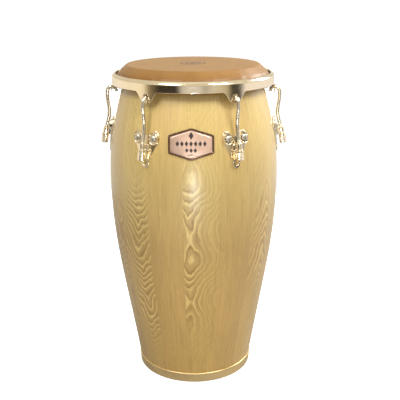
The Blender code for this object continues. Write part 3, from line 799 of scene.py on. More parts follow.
def skin_outline(sizes):
    """The hide's closed section: playing surface, rolled edge, sloping collar and a lap under the flesh ring.

    The lap is an arc about the ring's centre line, and the inside is the outside moved in by the thickness.
    """
    centre_r, centre_z, wire = ring_centre()
    lap = wire + 0.0005
    turns = np.radians(np.linspace(180, 385, 16))
    wall = centre_r - lap

    def side(shift, reach):
        slope = [
            (0.0, SKIN_TOP - shift, 0.0),
            (sizes.edge - 0.35 * shift, SKIN_TOP - shift, 0.0062 - shift),
            (sizes.shoulder - 0.55 * shift, SKIN_TOP - 0.0138 - 0.75 * shift, 0.010),
            (wall - shift, TUCK_HEIGHT, 0.006),
            (wall - shift, centre_z, 0.0),
        ]
        arc = curve(centre_r + reach * np.cos(turns), centre_z + reach * np.sin(turns))
        return np.concatenate([rounded(slope, 8)[:-1], arc])

    outside, inside = side(0.0, lap), side(sizes.hide, lap + sizes.hide)
    flat = curve(np.linspace(0, sizes.edge - 0.012, 14)[1:], np.full(13, SKIN_TOP))
    return np.concatenate([outside[:1], flat, outside[1:], inside[::-1]])


class CONGA_OT_head(bpy.types.Operator):
    """Builds the hide, its printed mark and the flesh ring."""

    bl_idname = "conga.head"
    bl_label = "Hide and flesh ring"

    def execute(self, context):
        scene = context.scene
        sizes, columns = scene.conga_head, scene.conga_tuning.round
        points = lathe(skin_outline(sizes), columns)
        # puckers: a sum of sines round the collar, growing down its slope and gone at the playing surface
        turns = full_turn(columns)
        waves = np.sin(31 * turns + 0.4) + 0.7 * np.sin(47 * turns + 2.1) + 0.5 * np.sin(18 * turns + 4.0)
        height = points[..., 2]
        share = smooth((SKIN_TOP - 0.004 - height) / 0.010) * smooth((height - LEDGE_LOW - 0.002) / 0.008)
        scale = 1 + sizes.pucker * waves * share / sizes.shoulder
        points[..., :2] *= scale[..., None]
        finish = rawhide(scene.conga_colours)
        hide = add_piece("hide_skin", [(points, True, True)], 60, finish, "head", ["head_skin"])
        # cut as a round blank, soaked, stretched over the shell and lapped round the flesh ring
        centre_r, centre_z, wire = ring_centre()
        around = full_turn(20)
        section = curve(centre_r + wire * np.cos(around), centre_z + wire * np.sin(around))
        ring, finish = [(lathe(section, 180), True, True)], zinc(scene.conga_colours)
        add_piece("flesh_ring_wire", ring, 60, finish, "head", ["flesh_ring"])

        # a plain target of two thin rings and a dot, 0.03 mm of ink on the hide
        ink = []
        top, low = SKIN_TOP + 0.00003, SKIN_TOP - 0.0002
        for inner, outer in ((0.0, 0.0075), (0.0125, 0.0180), (0.0240, 0.0285)):
            corners = np.array([(inner, low), (outer, low), (outer, top), (inner, top)])
            ink.append((lathe(corners, 72), True, True))
        add_piece("hide_mark", ink, 40, printed_ink(scene.conga_colours), "head")
        return {"FINISHED"}


def ear_drop(distance):
    """How far the rim's lower edge drops at a distance round the rim from a lug.

    The edge is a round end (radius 16 mm, 7 mm below the band), a straight side and a fillet of 8.5 mm that
    meets the band 28.5 mm from the lug; the side is the inner tangent of the two circles.
    """
    end_r, end_y, fillet_r, flare = 0.0160, 0.0070, 0.0085, 0.0285
    gap = np.array([flare, fillet_r - end_y])
    lean = math.acos((end_r + fillet_r) / np.linalg.norm(gap)) + math.atan2(gap[1], gap[0])
    touch = np.array([math.cos(lean), math.sin(lean)])
    low, high = end_r * touch + [0, end_y], np.array([flare, fillet_r]) - fillet_r * touch
    s = np.abs(distance)
    round_end = end_y + np.sqrt(np.clip(end_r**2 - s**2, 0, None))
    straight = low[1] + (s - low[0]) * (high[1] - low[1]) / (high[0] - low[0])
    fillet = fillet_r - np.sqrt(np.clip(fillet_r**2 - (flare - s) ** 2, 0, None))
    return np.where(s < low[0], round_end, np.where(s < high[0], straight, np.where(s < flare, fillet, 0.0)))


RIM_BOTTOM = 0.6710  # the band's lower edge between the ears
LEDGE_TOP, LEDGE_LOW = 0.6812, 0.6780


def rim_grid(sizes):
    """The rim: one closed section turned about the axis, its lower edge let down by ear_drop at each lug.

    A point of the section at height z moves down by drop times w, where w is 0 down to just under the ledge
    and grows to 1 at the lower edge.
    """
    outer, wall, roll, top = RIM_HIGH.x, sizes.rim_wall, sizes.rim_roll, RIM_HIGH.z
    inner, toe, start = outer - wall, 0.0011, LEDGE_LOW - 0.002
    bend = np.radians(np.linspace(0, 90, 13))
    circle = curve(np.cos(bend), np.sin(bend))
    centre = np.array([outer - roll, top - roll])
    end = np.radians(np.linspace(90, 270, 9))
    tip_r = centre[0] - sizes.rim_lip + wall / 2 * (1 + np.cos(end))
    tip = curve(tip_r, top - wall / 2 + wall / 2 * np.sin(end))
    curl = np.concatenate([centre + roll * circle, tip, centre + (roll - wall) * circle[::-1]])
    ledge = [
        (inner, LEDGE_TOP + 0.003, 0),
        (inner, LEDGE_TOP, 0.0012),
        (sizes.ledge, LEDGE_TOP, 0.0012),
        (sizes.ledge, LEDGE_LOW, 0.0010),
        (inner, LEDGE_LOW, 0.0008),
        (inner, LEDGE_LOW - 0.0012, 0),
    ]
    heights = np.linspace(start, RIM_BOTTOM + toe, 14)
    inside, outside = curve(np.full(14, inner), heights), curve(np.full(14, outer), heights[::-1])
    edge = np.radians(np.linspace(180, 360, 9))
    lip = curve(outer - wall / 2 + wall / 2 * np.cos(edge), RIM_BOTTOM + toe + toe * np.sin(edge))
    upper = curve(np.full(4, outer), np.linspace(LEDGE_LOW, top - roll - 0.001, 4))
    section = np.concatenate([curl, rounded(ledge, 4), inside, lip[1:-1], outside, upper])
    share = np.clip((start - section[:, 1]) / (start - RIM_BOTTOM - toe), 0, 1)

    # columns stand close together within 30 mm of a lug, and closest at the two ends of that stretch
    reach = 0.030 / outer
    near = np.sin(np.linspace(-np.pi / 2, np.pi / 2, 57)) * 0.5 + 0.5
    between = np.linspace(reach, TURN / len(LUGS) - reach, 13)[:-1]
    spread = np.concatenate([near[:-1] * 2 * reach - reach, between])
    turn = np.concatenate([azimuth + spread for azimuth in LUGS.values()])
    off = [np.abs((turn - azimuth + np.pi) % TURN - np.pi) for azimuth in LUGS.values()]
    height = section[:, 1:] - share[:, None] * ear_drop(np.min(off, axis=0) * outer)
    radius = section[:, :1]
    return np.stack([radius * np.sin(turn), -radius * np.cos(turn), height], -1)


def drill(mesh, sheets):
    """Cuts closed tool surfaces out of a mesh with one exact Boolean, and returns the new mesh."""
    work = bpy.data.objects.new("work", mesh)
    tool = bpy.data.objects.new("tool", build_mesh("tool", sheets, 60))
    for thing in (work, tool):
        bpy.context.collection.objects.link(thing)
    cut = work.modifiers.new("cut", "BOOLEAN")
    cut.operation, cut.solver, cut.object = "DIFFERENCE", "EXACT", tool
    bpy.context.view_layer.update()
    made = bpy.data.meshes.new_from_object(work.evaluated_get(bpy.context.evaluated_depsgraph_get()))
    for thing in (work, tool):
        bpy.data.objects.remove(thing, do_unlink=True)
    made.name = mesh.name
    made.set_sharp_from_angle(angle=math.radians(50))
    return made


class CONGA_OT_rim(bpy.types.Operator):
    """Builds the rim with its rolled top, ledge and drilled ears."""

    bl_idname = "conga.rim"
    bl_label = "Rim"

    def execute(self, context):
        sizes = context.scene.conga_head
        rim = build_mesh("rim_plate", [(rim_grid(sizes), True, True)], 50)
        # each hole's tool flares at both faces of the ear, which leaves a rounded edge in the metal
        hole, wall, flare = sizes.ear_hole, sizes.rim_wall, 0.0008
        depth = np.array([-0.008, -wall - 0.0005, -wall, -wall + flare, -flare, 0.0, 0.0005, 0.008])
        radius = hole + np.array([2, 1.6, 1, 0, 0, 1, 1.6, 2]) * flare
        outline = curve([0, *radius, 0], [depth[0], *depth, depth[-1]])
        spool = turned(outline[:, :1], outline[:, 1:], full_turn(32))
        height = joint("hook_tilt_1")["pos_m"][2]
        places = [radial_place(azimuth, height, RIM_HIGH.x) for azimuth in LUGS.values()]
        drilled = drill(rim, [(moved(spool, place), False, True) for place in places])
        finish = gold(context.scene.conga_colours)
        place_piece("rim_plate", drilled, finish, "head", ["rim"])
        return {"FINISHED"}


# ---------------------------------------------------------------- tension hardware
# (radius, height) of the ellipse that a rod bends round in its ear, its half sizes, and the bowed leg below
CROOK_CENTRE, CROOK_HALF = (0.1803, 0.6500), (0.00985, 0.0110)
LEG_KNOTS = ((0.1906, 0.6400), (0.1893, 0.6270), (0.1876, 0.6120), (0.1883, 0.5980))
STRAIGHT_ENDS = (-0.0050, -0.0465)  # where the straight end starts and stops, up the shell from the bolts
SLEEVE_UP = -0.0190  # the middle of the sleeve, up the shell from the bolts
TAIL_UP = -0.0500  # the centre of the side plate's tail, up the shell from the bolts
PLATE_CLEAR = 0.00015  # between the side plate's back and the shell


def hook_path(sizes):
    """(radius, height) points of a rod: half an ellipse over the ear's hole, a bowed leg and a straight end.

    The leg is a natural spline through its knots. The straight end lies rod_depth off the shell, along the
    side plate's own up direction.
    """
    crook = np.radians(np.linspace(180, 0, 40))
    (centre_r, centre_z), (half_r, half_z) = CROOK_CENTRE, CROOK_HALF
    bend = curve(centre_r + half_r * np.cos(crook), centre_z + half_z * np.sin(crook))
    place = shell_place(0.0, sizes.plate_height)
    line = moved(np.array([[0, up, sizes.rod_depth] for up in STRAIGHT_ENDS]), place)
    start, end = (np.array([-p[1], p[2]]) for p in line)
    knots = np.array([bend[-1], *LEG_KNOTS, start])
    along = arc_lengths(knots)
    at = np.linspace(0, along[-1], 60)[1:]
    leg = np.stack([natural_spline(along, knots[:, k])(at) for k in (0, 1)], 1)
    straight = start + (end - start) * np.linspace(0, 1, 320)[1:, None]
    return np.concatenate([bend, leg, straight])


class CONGA_OT_hooks(bpy.types.Operator):
    """Builds the six bent rods with their rolled threads."""

    bl_idname = "conga.hooks"
    bl_label = "Tension hooks"

    def execute(self, context):
        sizes = context.scene.conga_hardware
        path = hook_path(sizes)
        travel = arc_lengths(path)
        turns = full_turn(24)
        left = travel[-1] - travel
        # the ends are rounded over by quarter circles, and the thread is a ridge that climbs one pitch a turn
        hook_round, tip_round = 0.0022, 0.0012
        runs = (travel / hook_round, left / tip_round)
        ends = np.minimum(*(quarter(run) * 0.999 + 0.001 for run in runs))
        climb = (left[:, None] / sizes.thread + turns / TURN) % 1.0
        depth, fade = 0.00042, 0.002
        ridge = depth * np.abs(2 * climb - 1) * smooth((sizes.thread_run - left) / fade)[:, None]
        radius = sizes.rod * ends[:, None] - ridge
        radius[[0, -1]] = 0.0
        finish = plated("rod_plate", tuple(context.scene.conga_colours.rod), 0.17, 0.12)
        flat = np.stack([np.zeros(len(path)), path[:, 1], path[:, 0]], 1)
        rod = tube(flat, np.array([1.0, 0, 0]), radius)
        for n, azimuth in LUGS.items():
            sheets = [(moved(rod, radial_place(azimuth)), False, True)]
            add_piece(f"hook_{n}_rod", sheets, 60, finish, f"hook_body_{n}", [f"hook_{n}"])
        return {"FINISHED"}


def hexagon(turns, flats):
    """Radius of a hexagon: half its width over the cosine of the angle from the nearest flat."""
    off = (turns + np.pi / 6) % (np.pi / 3) - np.pi / 6
    return flats / 2 / np.cos(off)


def nut_grid(levels, flats, columns=72):
    """A nut about Z from (z, radius limit, hexagonal or not).

    r = min(limit, hexagon's radius) where it is hexagonal, and the limit elsewhere.
    """
    turns = full_turn(columns)
    height, limit, faceted = (np.array(v, float)[:, None] for v in zip(*levels))
    corners = hexagon(turns, flats)[None]
    radius = np.where(faceted > 0, np.minimum(limit, corners), limit)
    return turned(radius, height, turns)


def matrix_to_axis(axis, centre):
    """A 4 x 4 place whose Z runs along an axis, X level."""
    z = np.asarray(axis, float)
    x = np.cross([0, 0, 1], z)
    x /= np.linalg.norm(x)
    place = np.eye(4)
    place[:3] = np.stack([x, np.cross(z, x), z, centre], 1)
    return place


class CONGA_OT_nuts(bpy.types.Operator):
    """Builds the six long tension nuts, with chamfered hexagons, flanges and bores."""

    bl_idname = "conga.nuts"
    bl_label = "Tension nuts"

    def execute(self, context):
        sizes = context.scene.conga_hardware
        half, flats = 0.00925, sizes.nut_flats
        flange, bore, shelf = 0.0086, sizes.rod + 0.0002, half - 0.0022
        levels = [
            (-half + 0.0010, bore, 0),
            (-half, bore + 0.0007, 0),
            (-half, flats / 2 - 0.0003, 0),
            (-half + 0.0004, flats / 2 + 0.0002, 1),
            (-half + 0.0013, flats / 2 + 0.0013, 1),
            (shelf - 0.0006, flats / 2 + 0.0013, 1),
            (shelf, flats / 2 + 0.0006, 0),
            (shelf + 0.0001, flange - 0.0004, 0),
            (shelf + 0.0006, flange, 0),
            (half - 0.0005, flange, 0),
            (half, flange - 0.0005, 0),
            (half, bore + 0.0006, 0),
            (half - 0.0008, bore, 0),
        ]
        grid = nut_grid(levels, flats)
        finish = gold(context.scene.conga_colours)
        for n in LUGS:
            turn = joint(f"nut_turn_{n}")
            place = matrix_to_axis(-np.array(turn["axis"]), turn["pos_m"])
            sheets, body = [(moved(grid, place), True, True)], f"nut_body_{n}"
            add_piece(f"tuning_nut_{n}_hex", sheets, 30, finish, body, [f"tuning_nut_{n}"])
        return {"FINISHED"}


def plate_outline(spread):
    """The side plate's outline: elliptical lobes at the bolts, straight sides and a round tail."""
    lobe = np.radians(np.linspace(152, -55, 40))
    tail = np.radians(np.linspace(20, -90, 24))
    lobe_w, lobe_h, tail_w, tail_h, waist = 0.0105, 0.0160, 0.0090, 0.0120, 0.0067
    lobes = curve(spread + lobe_w * np.cos(lobe), lobe_h * np.sin(lobe))
    tails = curve(tail_w * np.cos(tail), TAIL_UP + tail_h * np.sin(tail))
    right = np.concatenate([[[0.0, waist]], lobes, tails])
    left = right[-2:0:-1] * [-1, 1]
    return resampled(np.concatenate([right, left]), 220, closed=True)


def plate_grid(place, sizes):
    """The side plate: points hole + f (outline - hole) on rays from the tail opening's centre, f from 0 to 1.

    The top face falls to both edges by a quarter circle 1.3 mm wide, and the back lies flat on the shell.
    """
    centre = np.array([0.0, TAIL_UP])
    half_w, half_h, edge_w, edge_h = 0.0045, 0.0065, 0.0013, 0.0014
    outline = plate_outline(sizes.spread)
    ray = outline - centre
    angle = np.arctan2(ray[:, 1] / half_h, ray[:, 0] / half_w)
    hole = centre + curve(half_w * np.cos(angle), half_h * np.sin(angle))
    reach = np.linalg.norm(outline - hole, axis=1)
    edge = 1 - np.cos(np.linspace(0, np.pi / 2, 7))
    near = edge[:, None] * edge_w / reach
    middle = np.linspace(edge_w, reach - edge_w, 26)[1:-1] / reach
    f = np.concatenate([near, middle, 1 - near[::-1]])
    flat = hole + f[..., None] * (outline - hole)
    distance = np.minimum(f, 1 - f) * reach
    rise = edge_h + (sizes.plate - edge_h) * quarter(distance / edge_w)
    top = np.concatenate([flat, rise[..., None]], -1)
    back = top[::-1][::4].copy()
    back[..., 2] = PLATE_CLEAR
    return on_shell(np.concatenate([top, back]), place)


def boss_grid(centre_x, place, sizes):
    """A boss: an elliptical ring outline (share of half width, height) that stands on the draped plate.

    Its foot flares by a concave fillet, and its flat top is dished round the bolt's head.
    """
    top = sizes.plate + sizes.boss
    shares = np.array([1.00, 0.955, 0.925, 0.905, 0.89, 0.875, 0.845, 0.80, 0.76, 0.735, 0.0])
    # the first four rows rise from the draped plate, and the others drop from the boss's top
    rises = (-0.0006, 0.0003, 0.0010, 0.0019)
    drops = (0.0012, 0.0004, 0.0, 0.0001, 0.0005, 0.0009, 0.0009)
    turns = full_turn(64)
    half_w, half_h = 0.0104, 0.0142
    x = centre_x + half_w * shares[:, None] * np.cos(turns)
    y = half_h * shares[:, None] * np.sin(turns)
    grid = np.stack([x, y, np.zeros_like(x)], -1)
    foot = on_shell(grid, place)[:4, :, 2] + sizes.plate + np.array(rises)[:, None]
    grid[:4, :, 2] = foot
    grid[4:, :, 2] = top - np.array(drops)[:, None]
    return grid


def web_grid(sizes):
    """The web from plate to sleeve: a rounded box section (superellipse, power 5) that flares at the plate.

    Its half sizes are 4.5 mm by 6.7 mm times 1 + 0.5 exp(-(depth - plate) / 1.3 mm).
    """
    depth = np.linspace(0.0010, sizes.rod_depth, 16)
    flare = 1 + 0.5 * np.exp(-np.clip(depth - sizes.plate, 0, None) / 0.0013)
    turns = full_turn(40)
    c, s = np.cos(turns), np.sin(turns)
    corner = (np.abs(c) ** 5 + np.abs(s) ** 5) ** -0.2
    half_w, half_h = 0.0045, 0.0067
    x = half_w * flare[:, None] * corner * c
    y = SLEEVE_UP + half_h * (1 + 0.35 * (flare[:, None] - 1)) * corner * s
    body = np.stack([x, y, np.broadcast_to(depth[:, None], x.shape)], -1)
    ends = [np.broadcast_to([0, SLEEVE_UP, depth[i]], body[:1].shape) for i in (0, -1)]
    return np.concatenate([ends[0], body, ends[1]])


def sleeve_grid(sizes):
    """The sleeve: a closed outline (radius, along) with beaded ends, turned about the rod's axis."""
    outer, bore, half = 0.0068, sizes.rod + 0.0004, 0.0080
    corners = [
        (bore, -half, 0.0004),
        (outer, -half, 0.0007),
        (outer, -half + 0.0024, 0.0005),
        (outer - 0.0005, -half + 0.0030, 0.0005),
        (outer - 0.0005, half - 0.0030, 0.0005),
        (outer, half - 0.0024, 0.0005),
        (outer, half, 0.0007),
        (bore, half, 0.0004),
    ]
    outline = rounded(corners, 4, True)
    turns = full_turn(48)
    radius, along = outline[:, :1], outline[:, 1:]
    depth = sizes.rod_depth + radius * np.sin(turns)
    return np.stack([radius * np.cos(turns), SLEEVE_UP + along + 0 * turns, depth], -1)


class CONGA_OT_side_plates(bpy.types.Operator):
    """Builds the six cast side plates with their bosses, webs and sleeves."""

    bl_idname = "conga.side_plates"
    bl_label = "Side plates"

    def execute(self, context):
        sizes = context.scene.conga_hardware
        finish = gold(context.scene.conga_colours)
        for n, azimuth in LUGS.items():
            place = shell_place(azimuth, sizes.plate_height)
            sheets = [(plate_grid(place, sizes), True, True)]
            sheets += [(boss_grid(side * sizes.spread, place, sizes), False, True) for side in (-1, 1)]
            sheets += [(web_grid(sizes), False, True), (sleeve_grid(sizes), True, True)]
            sheets = [(moved(grid, place), rows, columns) for grid, rows, columns in sheets]
            name, node = f"side_plate_{n}_casting", f"side_plate_{n}"
            add_piece(name, sheets, 38, finish, "shell", [node])
        return {"FINISHED"}


def bolt_grid(sizes, seat, tip):
    """A carriage bolt about Z: a domed head on its seat, a shank, and a thread on the last 14 mm.

    The thread is a ridge that climbs one millimetre a turn: r = shank - 0.3 mm |2 frac(z / mm + turn) - 1|.
    """
    head, height, rim, run, depth = sizes.bolt_head, 0.0034, 0.0007, 0.014, 0.0003
    dome = np.radians(np.linspace(90, 0, 12))
    top = curve(head * np.cos(dome), seat + rim + (height - rim) * np.sin(dome))
    under = np.array([(head - 0.0003, seat), (sizes.bolt, seat), (sizes.bolt, tip + run)])
    shank = curve(np.full(113, sizes.bolt), np.linspace(tip + run, tip + 0.0006, 113))
    end = np.array([(sizes.bolt - 0.0006, tip), (0.0, tip)])
    outline = np.concatenate([top, under, shank, end])
    turns = full_turn(24)
    climb = (outline[:, 1:] / 0.001 + turns / TURN) % 1.0
    cut = (outline[:, 1:] < tip + run - 0.0002) & (outline[:, 1:] > tip + 0.0003)
    radius = outline[:, :1] - np.where(cut, depth * np.abs(2 * climb - 1), 0.0)
    return turned(radius, outline[:, 1:], turns)


def polygon_radius(normals, distances, turns, inset=0.0, power=22):
    """Distance from the centre to a rounded polygon, the power mean of its sides.

    It is (sum over the sides of (cos(angle from the side's normal) / (distance - inset))^p)^(-1/p).
    """
    facing = np.clip(np.cos(turns[:, None] - normals[None]), 0, None)
    return np.sum((facing / (distances - inset)) ** power, 1) ** (-1 / power)


def slab(normals, distances, levels, turns, power):
    """A bevelled polygonal slab from (inset, height) levels, closed by a pole where the inset is None."""
    rows = []
    for inset, height in levels:
        radius = 0 * turns if inset is None else polygon_radius(normals, distances, turns, inset, power)
        rows.append(turned(radius, height, turns))
    return np.array(rows)


class CONGA_OT_bolts(bpy.types.Operator):
    """Builds the twelve carriage bolts and the six backing plates with their nuts."""

    bl_idname = "conga.bolts"
    bl_label = "Bolts and backing plates"

    def execute(self, context):
        sizes = context.scene.conga_hardware
        finish = zinc(context.scene.conga_colours)
        plate, nut, gap, flats, hole = 0.0020, 0.0052, 0.0004, 0.0100, sizes.bolt - 0.0001
        seat = sizes.plate + sizes.boss + 0.0001
        half_w, half_h = 0.0290, 0.0100
        normals, distances = np.radians([0.0, 90, 180, 270]), np.array([half_w, half_h, half_w, half_h])
        corners = np.radians([19, -19, 161, -161])
        turns = np.unique(np.concatenate([np.linspace(-np.pi, np.pi, 97)[:-1], corners]))
        insets = [(None, -gap), *((w, -gap) for w in (0.009, 0.006, 0.003, 0.0003)), (0.0, -gap - 0.0003)]
        insets += [(0.0, -gap - plate + 0.0006), (0.0006, -gap - plate)]
        insets += [*((w, -gap - plate) for w in (0.003, 0.006, 0.009)), (None, -gap - plate)]
        strap = slab(normals, distances, insets, turns, 26)
        for n, azimuth in LUGS.items():
            place = shell_place(azimuth, sizes.plate_height)
            wood = on_shell(np.array([[sizes.spread, 0, 0.0]]), place, WALL)[0, 2]
            back = wood - gap - plate
            grid = bolt_grid(sizes, seat, back - nut - 0.0020)
            for side, letter in ((-1, "a"), (1, "b")):
                spot = np.eye(4)
                spot[0, 3] = side * sizes.spread
                sheets, node = [(moved(grid, place @ spot), False, True)], f"bolt_{n}{letter}"
                add_piece(f"{node}_carriage", sheets, 50, finish, "shell", [node])
            levels = [
                (back + 0.0006, hole, 0),
                (back + 0.0006, flats / 2 + 0.0010, 1),
                (back - nut + 0.0011, flats / 2 + 0.0010, 1),
                (back - nut + 0.0003, flats / 2 + 0.0001, 1),
                (back - nut, flats / 2 - 0.0003, 0),
                (back - nut, hole, 0),
            ]
            hexagons = [nut_grid(levels, flats) + [side * sizes.spread, 0, 0] for side in (-1, 1)]
            sheets = [(moved(on_shell(strap, place, WALL), place), False, True)]
            sheets += [(moved(grid, place), True, True) for grid in hexagons]
            node = f"backing_plate_{n}"
            add_piece(f"{node}_strap", sheets, 35, finish, "shell", [node])
        return {"FINISHED"}


# ---------------------------------------------------------------- badge
BADGE_HEIGHT = 0.5700


class CONGA_OT_badge(bpy.types.Operator):
    """Builds the badge: a bronze border, a rose plate and a plain ornament of lozenges and bars."""

    bl_idname = "conga.badge"
    bl_label = "Badge"

    def execute(self, context):
        colours = context.scene.conga_colours
        low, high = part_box("badge")
        azimuth = azimuth_of(((low.x + high.x) / 2, low.y))
        place = shell_place(azimuth, BADGE_HEIGHT)
        half, side, point = 0.0465, 0.0182, 0.0325
        slant = math.atan2(half, point - side)
        normals = np.array([0, slant, np.pi - slant, np.pi, np.pi + slant, -slant])
        sloped = point * math.sin(slant)
        distances = np.array([half, sloped, sloped, half, sloped, sloped])
        turns = full_turn(240) - np.pi

        # (inset, height) round the border's section, and below round the plate's
        border = [(0.0043, 0.0006), (0.0002, 0.0006), (0.0, 0.0009), (0.0, 0.0018)]
        border += [(0.0009, 0.0027), (0.0022, 0.0027), (0.0043, 0.0013)]
        grid = on_shell(slab(normals, distances, border, turns, 40), place)
        bronze = plated("bronze_plate", tuple(colours.border), 0.24, 0.08)
        sheets = [(moved(grid, place), True, True)]
        add_piece("badge_border", sheets, 25, bronze, "shell", ["badge"])

        under = (0.022, 0.016, 0.011, 0.007, 0.0040)
        over = (0.0055, 0.0058, 0.0062, 0.007, 0.011, 0.016, 0.022)
        field = [(None, 0.0004), *((w, 0.0004) for w in under), (0.0040, 0.0014)]
        field += [*((w, 0.0014 + 0.0002 * (w > 0.006)) for w in over), (None, 0.0016)]
        plate = on_shell(slab(normals, distances, field, turns, 40), place)
        rose = plated("rose_plate", tuple(colours.rose), 0.30, 0.10)
        add_piece("badge_plate", [(moved(plate, place), False, True)], 25, rose, "shell")

        # lozenges (x, y, half width, half height): one large over a row of seven, a short row and a thin bar
        marks = [(0.0, 0.0172, 0.0050, 0.0082), (0.0, -0.0212, 0.0110, 0.0008)]
        marks += [(0.0092 * i, 0.0012, 0.0037, 0.0058) for i in range(-3, 4)]
        marks += [(0.0086 * i, -0.0122, 0.0034, 0.0050) for i in (-1, 0, 1)]
        corner = full_turn(4)
        sheets = []
        for x, y, w, h in marks:
            rows = np.array([(0.0, 0.0014), (1.0, 0.0014), (1.0, 0.0017), (0.75, 0.0019), (0.0, 0.0019)])
            share, height = rows[:, :1], rows[:, 1:]
            across, up = x + share * w * np.cos(corner), y + share * h * np.sin(corner)
            grid = on_shell(np.stack([across, up, height + 0 * corner], -1), place)
            sheets.append((moved(grid, place), False, True))
        enamel, tree, shader = new_finish("dark_enamel")
        place = add(tree, "TexCoord", out="Object")
        spot = add(tree, "TexNoise", {"Scale": 600.0, "Detail": 3.0, "Vector": place})
        shade = ramp(tree, spot, [(0.3, linear("#332826")), (0.7, linear("#453836"))])
        tree.links.new(shade, shader.inputs["Base Color"])
        shader.inputs["Roughness"].default_value = 0.35
        add_piece("badge_ornament", sheets, 20, enamel, "shell")
        return {"FINISHED"}


# ---------------------------------------------------------------- stage
CAMERA_PLACE = (0.0, -1.58687, 0.88658)
CAMERA_PITCH, CAMERA_YAW, CAMERA_ROLL = 17.11, -0.505, -0.263
CAMERA_LENS = 64.55
FLOOR_REACH, FLOOR_DROP = 1.5, 0.0004


def camera_matrix():
    """The camera's place: turned by yaw about Z, tipped down by pitch, and rolled about its own axis."""
    pitch, yaw, roll = (math.radians(v) for v in (CAMERA_PITCH, CAMERA_YAW, CAMERA_ROLL))
    right = np.array([math.cos(yaw), math.sin(yaw), 0])
    level = np.array([-math.sin(yaw), math.cos(yaw), 0])
    ahead = level * math.cos(pitch) - np.array([0, 0, math.sin(pitch)])
    up = level * math.sin(pitch) + np.array([0, 0, math.cos(pitch)])
    c, s = math.cos(roll), math.sin(roll)
    right, up = right * c + up * s, up * c - right * s
    place = np.eye(4)
    place[:3] = np.stack([right, up, -ahead, CAMERA_PLACE], 1)
    return Matrix(place.tolist())


def studio_world(scene):
    """White to the eye, a soft sky that lights the drum from above, and a room of panels in its metal.

    The panels stand round the room by azimuth: white walls at the sides and behind, and in front a white card
    and a tan one between two black flags.
    """
    world = bpy.data.worlds.new("studio")
    world.use_nodes = True
    tree = world.node_tree
    tree.nodes.clear()
    way = add(tree, "TexCoord", out="Generated")
    x, y, height = add(tree, "SeparateXYZ", {0: way}).node.outputs
    toward = add(tree, "Math", {0: y, 1: -1.0}, operation="MULTIPLY")
    azimuth = add(tree, "Math", {0: x, 1: toward}, operation="ARCTAN2")
    turn = add(tree, "MapRange", {"Value": azimuth, "From Min": -math.pi, "From Max": math.pi})
    walls = [
        (-179, "#E6E2DA"),
        (-120, "#FFF8EA"),
        (-72, "#FFF2DA"),
        (-62, "#8A7A5C"),
        (-48, "#3F372C"),
        (-22, "#352E26"),
        (-14, "#CFC8C2"),
        (9, "#D6D0CB"),
        (15, "#B9B3A6"),
        (28, "#DAD3C4"),
        (46, "#C8BA9C"),
        (54, "#4C4439"),
        (66, "#3A332B"),
        (76, "#FFF8F2"),
        (120, "#FFF9F6"),
        (179, "#E6E2DA"),
    ]
    panels = ramp(tree, turn, [((degrees + 180) / 360, linear(code)) for degrees, code in walls])
    eaves = {"Value": height, "From Min": 0.04, "From Max": 0.26}
    above = add(tree, "MapRange", eaves, interpolation_type="SMOOTHSTEP")
    room = add(tree, "Mix", {0: above, 6: panels, 7: (*linear("#DED5C2"), 1)}, **BLEND)
    fall = add(tree, "MapRange", {"Value": height, "From Min": -0.6, "From Max": 0.7})
    sky = ramp(tree, fall, [(0.0, linear("#6B675F")), (0.5, linear("#BFBBB2")), (1.0, linear("#EDEDEA"))])
    panel_light = add(tree, "Background", {"Color": room, "Strength": 1.05})
    sky_light = add(tree, "Background", {"Color": sky, "Strength": 0.42})
    white = add(tree, "Background", {"Color": (1, 1, 1, 1), "Strength": 1.05})
    diffuse = add(tree, "LightPath", out="Is Diffuse Ray")
    eye = add(tree, "LightPath", out="Is Camera Ray")
    lit = add(tree, "MixShader", {0: diffuse, 1: panel_light, 2: sky_light})
    seen = add(tree, "MixShader", {0: eye, 1: lit, 2: white})
    add(tree, "OutputWorld", {"Surface": seen})
    scene.world = world


def softbox(name, place, target, size, power, shade=(1, 1, 1)):
    """A rectangular soft light at a place, turned to a target."""
    light = bpy.data.lights.new(name, "AREA")
    light.shape, light.size, light.size_y = "RECTANGLE", size[0], size[1]
    light.energy, light.color = power, shade
    lamp = bpy.data.objects.new(name, light)
    lamp.visible_camera = False
    bpy.context.collection.objects.link(lamp)
    z = np.array(place) - np.array(target)
    lamp.matrix_world = Matrix(matrix_to_axis(z / np.linalg.norm(z), place).tolist())


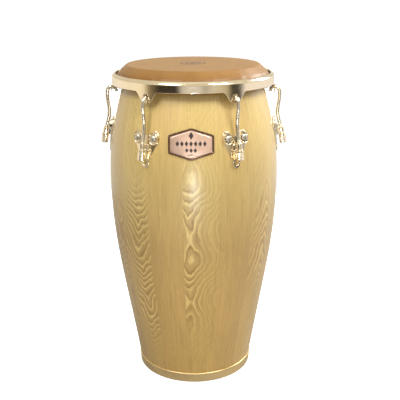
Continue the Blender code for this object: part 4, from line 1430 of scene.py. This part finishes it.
class CONGA_OT_stage(bpy.types.Operator):
    """Builds the floor, the lights, the world and the camera."""

    bl_idname = "conga.stage"
    bl_label = "Stage"

    def execute(self, context):
        scene = context.scene
        camera = bpy.data.objects.new("camera", bpy.data.cameras.new("camera"))
        context.collection.objects.link(camera)
        camera.matrix_world = camera_matrix()
        camera.data.sensor_width, camera.data.lens = 36.0, CAMERA_LENS
        scene.camera = camera
        scene.view_settings.view_transform = "Standard"
        studio_world(scene)
        softbox("key_left", (-1.2, -1.7, 2.4), (0, 0, 0.50), (1.0, 1.0), 39)
        softbox("key_right", (1.4, -1.5, 2.5), (0, 0, 0.55), (1.0, 1.0), 51)
        softbox("front_strip", (0.02, -2.2, 0.02), (0, 0, 0.44), (0.30, 0.30), 9)
        softbox("top", (0.0, 0.2, 2.6), (0, 0, 0.5), (1.6, 1.6), 2)
        softbox("side_right", (1.5, 0.75, 1.5), (0, 0, 0.66), (0.9, 0.9), 28)
        softbox("back", (0.0, 2.3, 0.42), (0, 0, 0.42), (1.8, 0.5), 34)

        reach = np.linspace(0, FLOOR_REACH, 12)[:, None]
        disc = turned(reach, 0 * reach - FLOOR_DROP, full_turn(96))
        floor = bpy.data.objects.new("floor", build_mesh("floor", [(disc, False, True)], 60))
        context.collection.objects.link(floor)
        finish, tree, shader = new_finish("painted_floor")
        speck = add(tree, "TexNoise", {"Scale": 40.0, "Vector": add(tree, "TexCoord", out="Object")})
        base = tuple(scene.conga_colours.floor)
        eye = add(tree, "LightPath", out="Is Camera Ray")
        pale = ramp(tree, speck, [(0.2, tone(base, 0.985)), (0.8, base)])
        paint = add(tree, "Mix", {0: eye, 6: (*tone(base, 0.42), 1), 7: pale}, **BLEND)
        glow = add(tree, "MapRange", {"Value": eye, "To Min": 0.0, "To Max": 0.62})
        tree.links.new(paint, shader.inputs["Base Color"])
        tree.links.new(glow, shader.inputs["Emission Strength"])
        shader.inputs["Emission Color"].default_value = (1, 1, 1, 1)
        shader.inputs["Roughness"].default_value = 0.9
        floor.data.materials.append(finish)
        return {"FINISHED"}


# ---------------------------------------------------------------- add-on
class CONGA_PT_panel(bpy.types.Panel):
    """Lists the drum's pieces in the sidebar."""

    bl_label = "Conga Drum"
    bl_idname = "CONGA_PT_panel"
    bl_space_type = "VIEW_3D"
    bl_region_type = "UI"
    bl_category = "Conga"

    def draw(self, context):
        for step in STEPS:
            self.layout.operator(step.bl_idname)
        for _, attribute in GROUPS:
            group = getattr(context.scene, attribute)
            box = self.layout.box()
            for key in type(group).__annotations__:
                box.prop(group, key)


STEPS = (
    CONGA_OT_shell,
    CONGA_OT_foot,
    CONGA_OT_head,
    CONGA_OT_rim,
    CONGA_OT_side_plates,
    CONGA_OT_bolts,
    CONGA_OT_hooks,
    CONGA_OT_nuts,
    CONGA_OT_badge,
    CONGA_OT_stage,
)
GROUPS = (
    (ShellSizes, "conga_shell"),
    (HeadSizes, "conga_head"),
    (HardwareSizes, "conga_hardware"),
    (DrumColours, "conga_colours"),
    (Tuning, "conga_tuning"),
)


def register():
    """Registers the property groups, the operators and the panel."""
    for group, attribute in GROUPS:
        bpy.utils.register_class(group)
        setattr(bpy.types.Scene, attribute, PointerProperty(type=group))
    for made in (*STEPS, CONGA_PT_panel):
        bpy.utils.register_class(made)


def unregister():
    """Undoes register, in reverse."""
    for made in (CONGA_PT_panel, *reversed(STEPS)):
        bpy.utils.unregister_class(made)
    for group, attribute in reversed(GROUPS):
        delattr(bpy.types.Scene, attribute)
        bpy.utils.unregister_class(group)


def main():
    register()
    for step in STEPS:
        family, name = step.bl_idname.split(".")
        getattr(getattr(bpy.ops, family), name)()


if __name__ == "__main__":
    main()
